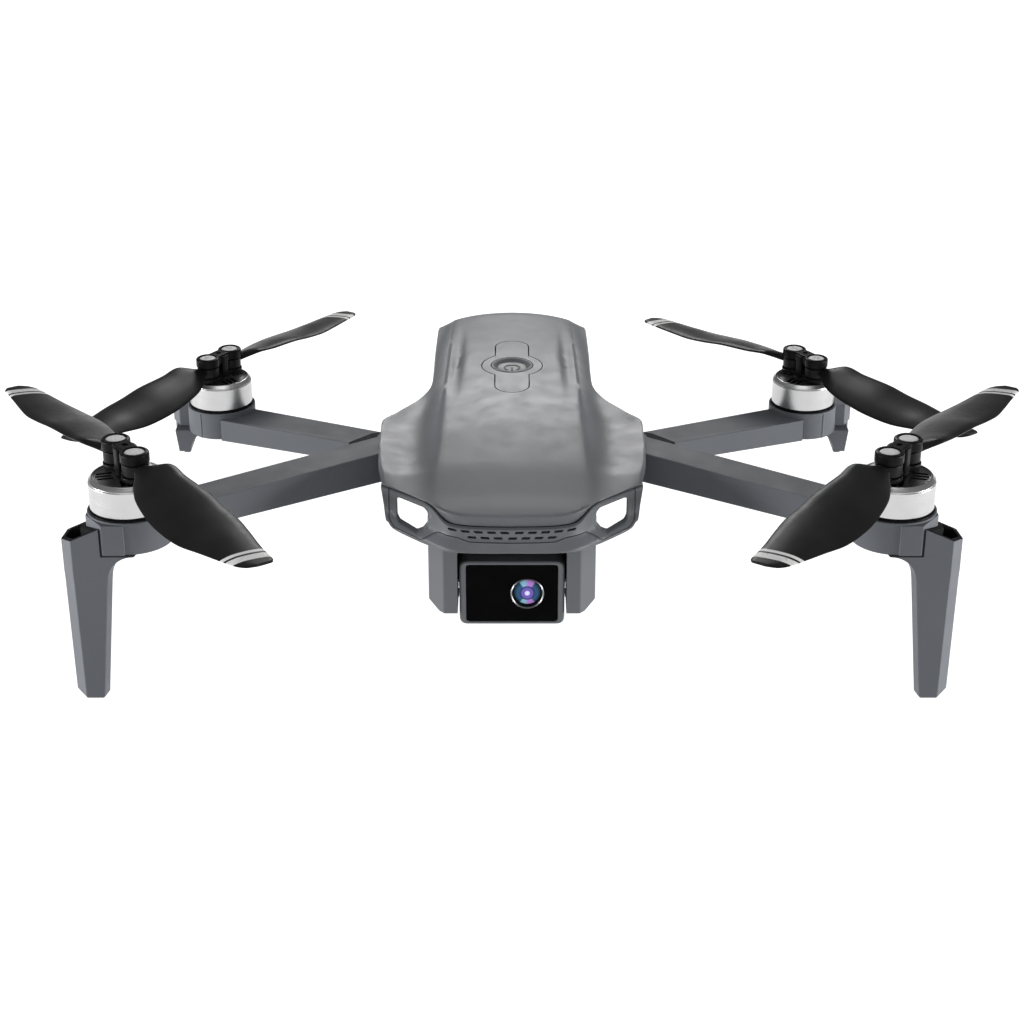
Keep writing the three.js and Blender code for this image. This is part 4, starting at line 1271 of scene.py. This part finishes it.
def rear_foot():
    """A short fin, and a web in front of it whose inner edge curves out under the pod."""
    pod_low, _ = pod_heights("rear")
    outline = lambda outer, inner: [
        (inner, 168), (outer - 2.6, 168), (outer, 171),
        (outer - 1, 176.5), (inner + 1.4, 176.5), (inner, 172),
    ]
    sections = [(0, 121.8, 117.4), (0.3, 122, 117.2), (6, 122.3, 116.2)]
    sections += fillet_sections(6.6, pod_low + 0.3, 122.4, 116, 108.5)[1:]
    cap = [(112, 162), (119.4, 162), (122.4, 168), (121.4, 176.5), (112, 176.5)]
    low = 5
    hollow = arc((107.5, low), pod_low - low, 0, 90, 10)
    web = [(119.4, low), (120.4, pod_low + 0.2), (107.5, pod_low + 0.2)] + hollow[::-1]
    return join(
        stack(sections, outline),
        pillow(round_corners(cap, 0.5, 3), pod_low, pod_low + 8, 0.4),
        upright(prism(web, 157, 169)),
    )


# ---- motors and propellers ----
BELL_SLOT = {"pitch": 1.85, "half": 0.58, "turn": 20}
TEETH = 9


def motor_bell():
    """A turned cup with a chamfered rim and four groups of three slots in its top."""
    bell, height, chamfer, shaft = (MOTOR[key] for key in ("bell", "height", "chamfer", "shaft"))
    top = height + chamfer
    bore = bell - 1.3
    inside = [(0, top - 9.4), (shaft, top - 9.4), (shaft, top - 1.3), (bore, top - 1.3), (bore, 0)]
    groove = [(bell, height - 0.5), (bell - 0.25, height - 0.35), (bell - 0.25, height - 0.15)]
    crown = [(bell - 0.1, height), (bell - chamfer, top), (bell - chamfer - 0.6, top)]
    disc = [(bell - chamfer - 0.8, top - 0.15), (0, top - 0.15)]
    cup = turned(soften(inside + [(bell, 0)] + groove + crown + disc, 0.12, 2), 128)
    slots = []
    for group in range(4):
        turn = Matrix.Rotation(math.radians(90 * group + BELL_SLOT["turn"]), 4, "Z")
        for lane in (-1, 0, 1):
            inner, outer = 4.9 - abs(lane) * 0.4, 8.4 - abs(lane) * 0.4
            y = lane * BELL_SLOT["pitch"]
            outline = slot_outline((inner, y), (outer, y), BELL_SLOT["half"], 6)
            slots.append(moved(prism(outline, top - 2, top + 1), turn))
    # Painted shade: the inside of the cup takes the black that stands for the shade inside the bell.
    return darkened(cut(cup, *slots), lambda p: p.z < top - 0.2 and p.xy.length < bell - 1.2)


def motor_stator():
    """Nine wound teeth round a core."""
    core = post(0, 0, 4.2, -0.7, 7, 0.2)
    teeth = []
    for k in range(TEETH):
        turn = Matrix.Rotation(2 * math.pi * k / TEETH, 4, "Z")
        coil = pillow(round_corners([(3.6, -1.2), (7.6, -1.9), (7.6, 1.9), (3.6, 1.2)], 0.5), 0.6, 6.4, 0.9)
        shoe = pillow(round_corners([(7.4, -2.4), (8.8, -2.7), (8.8, 2.7), (7.4, 2.4)], 0.3), 1.2, 5.8, 0.3)
        teeth += [moved(coil, turn), moved(shoe, turn)]
    return cut(join(core, *teeth), post(0, 0, 1.7, -3, 9, steps=32))


def motor_base():
    """The thin black ring that closes the gap under the bell."""
    ring = post(0, 0, MOTOR["bell"] - 0.35, -1, -0.1, 0.15, 96)
    lip = post(0, 0, MOTOR["bell"] + 0.3, -1, -0.55, 0.15, 96)
    return cut(join(ring, lip), post(0, 0, 4.4, -3, 3, steps=48))


def dog_bone(half, boss, waist):
    """Two round bosses joined by a narrower waist."""
    lean = 38
    right = arc((half, 0), boss, -180 + lean, 180 - lean, 28)
    left = arc((-half, 0), boss, lean, 360 - lean, 28)
    return right + [(0, waist)] + left + [(0, -waist)]


def prop_hub(half):
    top, plate, slot = HUB["top"], HUB["plate"], HUB["slot"]
    base = MOTOR["height"] + MOTOR["chamfer"] + 0.3
    blade_low = top - plate - slot
    bone = round_corners(dog_bone(half, HUB["boss"], HUB["waist"]), 0.6, 2)
    upper = pillow(bone, blade_low + slot, top, 0.55, 0.3, 4)
    lower = pillow(bone, base, blade_low, 0.3, 0.5)
    web = pillow(rectangle(1.5, 3.2, 0.8, steps=4), base, top - 0.5, 0.2)
    rims = [post(x, 0, HUB["boss"] - 0.5, top - 1, top + 0.12, 0.2) for x in (half, -half)]
    seats = [post(x, 0, HUB["screw"] + 0.22, top - 0.9, top + 1) for x in (half, -half)]
    bores = [post(x, 0, 1.6, base - 1, top + 1, steps=32) for x in (half, -half)]
    dimple = post(0, 0, 0.9, top - 0.8, top + 1, steps=32)
    return cut(join(upper, lower, web, *rims), *seats, *bores, dimple)


def pivot_screw(crossed):
    top = HUB["top"]
    head = moved(screw_head(HUB["screw"], crossed), placed(0, 0, top))
    return join(head, post(0, 0, 1.2, 10.2, top - 0.6, steps=32))


# Stations along a blade: distance out, then the leading and trailing edges' offsets and heights.
BLADE = [
    (2.6, 2.2, -2, 0, 0),
    (4.4, 3, -2.5, 0.4, -0.3),
    (6, 4.6, -3.4, 1.2, -0.9),
    (9, 6.9, -5.2, 2.2, -1.7),
    (16, 7.2, -8, 1.4, -2.4),
    (28, 7.8, -10.2, 0.7, -3.3),
    (36, 7.9, -10.5, -0.4, -3.8),
    (44, 8, -9.8, -1.1, -4.1),
    (52, 6.9, -8, -1.5, -3.6),
    (60, 5.5, -6.4, -1.9, -3),
    (66, 4.7, -5.1, -2, -2.5),
    (69, 4.3, -3.4, -2, -2.2),
    (BLADE_LENGTH, 3.6, -1.6, -2, -2),
]
BLADE_CURVES = [curve(*[(station[0], station[k]) for station in BLADE]) for k in range(1, 5)]
CHORD_STEPS = 18


def blade_section(out):
    """Points round the blade's section: over the top from the leading edge, and back underneath."""
    lead, trail, high, low = (line(out) for line in BLADE_CURVES)
    left = BLADE_LENGTH - out
    thick = min(0.45 + left * 0.008, 0.8)
    camber = 0.9 * min(left / 20, 1)
    shares = [0.5 - 0.5 * math.cos(turn) for turn in spread(0, math.pi, CHORD_STEPS)]
    over = [(share, 1) for share in shares]
    under = [(share, -0.4) for share in shares[-2:0:-1]]
    points = []
    for share, face in over + under:
        body = thick * min(2.6 * math.sqrt(share * (1 - share)) * (1.25 - 0.5 * share), 1) + 0.1
        z = mix(high, low, share) + camber * math.sin(math.pi * share) + face * body
        points.append(((out, mix(lead, trail, share), z), (out / BLADE_LENGTH, share)))
    return points


def blade():
    """A lofted blade with its pivot eye. Each face corner keeps its distance out and place on the chord."""
    root_end, tip_start = 9, 66
    outs = spread(BLADE[0][0], root_end, 12)[:-1] + spread(root_end, tip_start, 38)[:-1]
    outs += spread(tip_start, BLADE_LENGTH, 8)
    sections = [blade_section(out) for out in outs]
    body = loft([[point for point, _ in section] for section in sections])
    half = HUB["slot"] / 2 - 0.3
    eye = post(0, 0, 3.8, -half, half, 0.3, 64)
    made = cut(join(body, eye), post(0, 0, 1.6, -6, 8, steps=32))
    layer = made.uv_layers.new(name="blade")
    for loop in made.loops:
        x, y, _ = made.vertices[loop.vertex_index].co
        out = min(max(x, outs[0]), outs[-1])
        lead, trail = BLADE_CURVES[0](out), BLADE_CURVES[1](out)
        chord = (y - lead) / (trail - lead)
        layer.data[loop.index].uv = (max(x, 0) / BLADE_LENGTH, min(max(chord, 0), 1))
    return made


def propulsion():
    bell, stator, base, vane = motor_bell(), motor_stator(), motor_base(), blade()
    screws = {"front": pivot_screw(False), "rear": pivot_screw(True)}
    arms = {corner: arm(corner) for corner in CORNERS}
    gap = root_gap_shade()
    feet = {"front": ("leg", front_leg()), "rear": ("foot", rear_foot())}
    for corner in CORNERS:
        _, motor, pivot = corner_places(corner)
        reach = Vector((pivot.x - motor.x, pivot.y - motor.y))
        hub = prop_hub(reach.length)
        turn = math.atan2(reach.y, reach.x)
        spin = -1 if corner == "front" else 1
        at_motor = placed(motor.x, motor.y, bell_low(corner), turn)
        foot_name, foot = feet[corner]
        for name, side in SIDES.items():
            tag = f"{corner}_{name}"
            rotor = f"{tag}_rotor"
            piece(f"{tag}_arm_skin", arms[corner], f"{tag}_arm", "arm_grey", side)
            grey = [LOOKS["arm_grey"], PAINTED_SHADE_BLACK]
            piece(f"{tag}_{foot_name}_skin", foot, f"{tag}_arm", "arm_grey", side, look=grey)
            if corner == "front":
                # Painted shade: a black piece stands for the shade in the recess behind the knuckle.
                piece(f"{tag}_root_gap_shade", gap, f"{tag}_arm", "hub_black", side, look=PAINTED_SHADE_BLACK, stands_for=[])
            piece(f"{tag}_motor_stator_skin", stator, f"{tag}_arm", "stator_copper", side, at_motor)
            piece(f"{tag}_motor_base", base, f"{tag}_arm", "hub_black", side, at_motor, stands_for=[])
            metal = [LOOKS["bell_silver"], PAINTED_SHADE_BLACK]
            piece(f"{tag}_motor_bell_skin", bell, rotor, "bell_silver", side, at_motor, metal)
            piece(f"{tag}_prop_hub_skin", hub, rotor, "hub_black", side, at_motor)
            for letter, end in (("a", 1), ("b", -1)):
                place = at_motor @ placed(end * reach.length, 0, 0)
                screw_name = f"{tag}_pivot_screw_{letter}_skin"
                piece(screw_name, screws[corner], rotor, "steel", side, place, SCREW_CAP)
                blade_name = f"{tag}_blade_{letter}"
                rest = LOOSE_BLADES.get(blade_name, 0) + (0 if end > 0 else 180)
                out = place @ placed(0, 0, BLADE_PLANE, math.radians(rest)) @ Matrix.Scale(spin, 4, (0, 1, 0))
                piece(f"{blade_name}_skin", vane, blade_name, "blade_black", side, out, angle=50)


# ---- CAD nodes that keep their own shape ----
def carried_over():
    """The pins, axle and boards keep their CAD meshes and get finished materials."""
    slots = {"camera_axle": "steel", "main_board": "board_green", "gps_module": "board_green"}
    for corner in CORNERS:
        for side in SIDES:
            slots[f"{corner}_{side}_hinge_pin"] = "steel"
    for node, slot in slots.items():
        thing = frame["nodes"][node]
        thing.data.materials.clear()
        thing.data.materials.append(LOOKS[slot])


# ---- floor, light and camera ----
VIEW = {"lens": 72.18, "sensor": 36, "away": 0.60466, "up": 0.291, "downwards": 24.5}
GLOW = {"floor": 0.98, "low": 0.12, "high": 0.23}
# Each light's place, its width and height, and its power, in metres and watts.
LIGHTS = {
    "overhead": ((0, -0.33, 1), (0.6, 0.3), 1.2),
    "behind": ((0, 0.9, 0.6), (0.4, 0.3), 3.2),
    "front": ((0, -1, 0.16), (0.9, 0.3), 1.2),
    "flank_left": ((-1.1, -0.25, 0.06), (0.5, 0.2), 13),
    "flank_right": ((1.1, -0.25, 0.06), (0.5, 0.2), 13),
}
AIM = Vector((0, 0, 0.04))


def floor_white():
    """A pale matt surface with light of its own, so that shadows on it stay faint."""
    look = Look("floor_white", 0.9, Specular_IOR_Level=0.1)
    grey = (0.5, 0.5, 0.5)
    look.colour(look.blend(look.between(look.noise(60), 0.3, 0.7), shade(grey, 0.99), grey))
    look.shader.inputs["Emission Color"].default_value = (1, 1, 1, 1)
    look.shader.inputs["Emission Strength"].default_value = GLOW["floor"]
    return look.material


def stage():
    span = about(0, 12)
    mesh = bpy.data.meshes.new("floor")
    mesh.from_pydata([(x, y, 0) for x, y in oblong(span, span)], [], [(0, 1, 2, 3)])
    mesh.materials.append(floor_white())
    floor = bpy.data.objects.new("floor", mesh)
    bpy.context.scene.collection.objects.link(floor)
    floor.location.z = cad_box[0].z - 0.0002
    floor.visible_diffuse = False


def softbox(name, place, size, power):
    data = bpy.data.lights.new(name, "AREA")
    data.shape = "RECTANGLE"
    data.size, data.size_y = size
    data.energy = power
    light = bpy.data.objects.new(name, data)
    bpy.context.scene.collection.objects.link(light)
    light.location = place
    light.rotation_euler = (AIM - Vector(place)).to_track_quat("-Z", "Y").to_euler()


def studio():
    """A plain white backdrop that lights the object only faintly, more from above, and five soft lights."""
    world = bpy.data.worlds.new("studio")
    world.use_nodes = True
    nodes, links = world.node_tree.nodes, world.node_tree.links
    background = nodes["Background"]
    background.inputs["Color"].default_value = (1, 1, 1, 1)
    height = nodes.new("ShaderNodeSeparateXYZ")
    links.new(nodes.new("ShaderNodeTexCoord").outputs["Generated"], height.inputs["Vector"])
    level = nodes.new("ShaderNodeMapRange")
    set_range(level, -0.5, 0.4, GLOW["low"], GLOW["high"])
    links.new(height.outputs["Z"], level.inputs["Value"])
    seen = nodes.new("ShaderNodeLightPath").outputs["Is Camera Ray"]
    brightest = nodes.new("ShaderNodeMath")
    brightest.operation = "MAXIMUM"
    links.new(level.outputs["Result"], brightest.inputs[0])
    links.new(seen, brightest.inputs[1])
    links.new(brightest.outputs["Value"], background.inputs["Strength"])
    bpy.context.scene.world = world
    for name, light in LIGHTS.items():
        softbox(name, *light)
    bpy.context.scene.view_settings.view_transform = "Standard"


def camera_view():
    data = bpy.data.cameras.new("view")
    data.lens = VIEW["lens"]
    data.sensor_width = VIEW["sensor"]
    eye = bpy.data.objects.new("view", data)
    bpy.context.scene.collection.objects.link(eye)
    eye.location = (0, -VIEW["away"], VIEW["up"])
    eye.rotation_euler = (math.radians(90 - VIEW["downwards"]), 0, 0)
    bpy.context.scene.camera = eye


upper_shell()
power_button()
nose_fascia()
lower_shell()
camera()
battery()
propulsion()
carried_over()
stage()
studio()
camera_view()
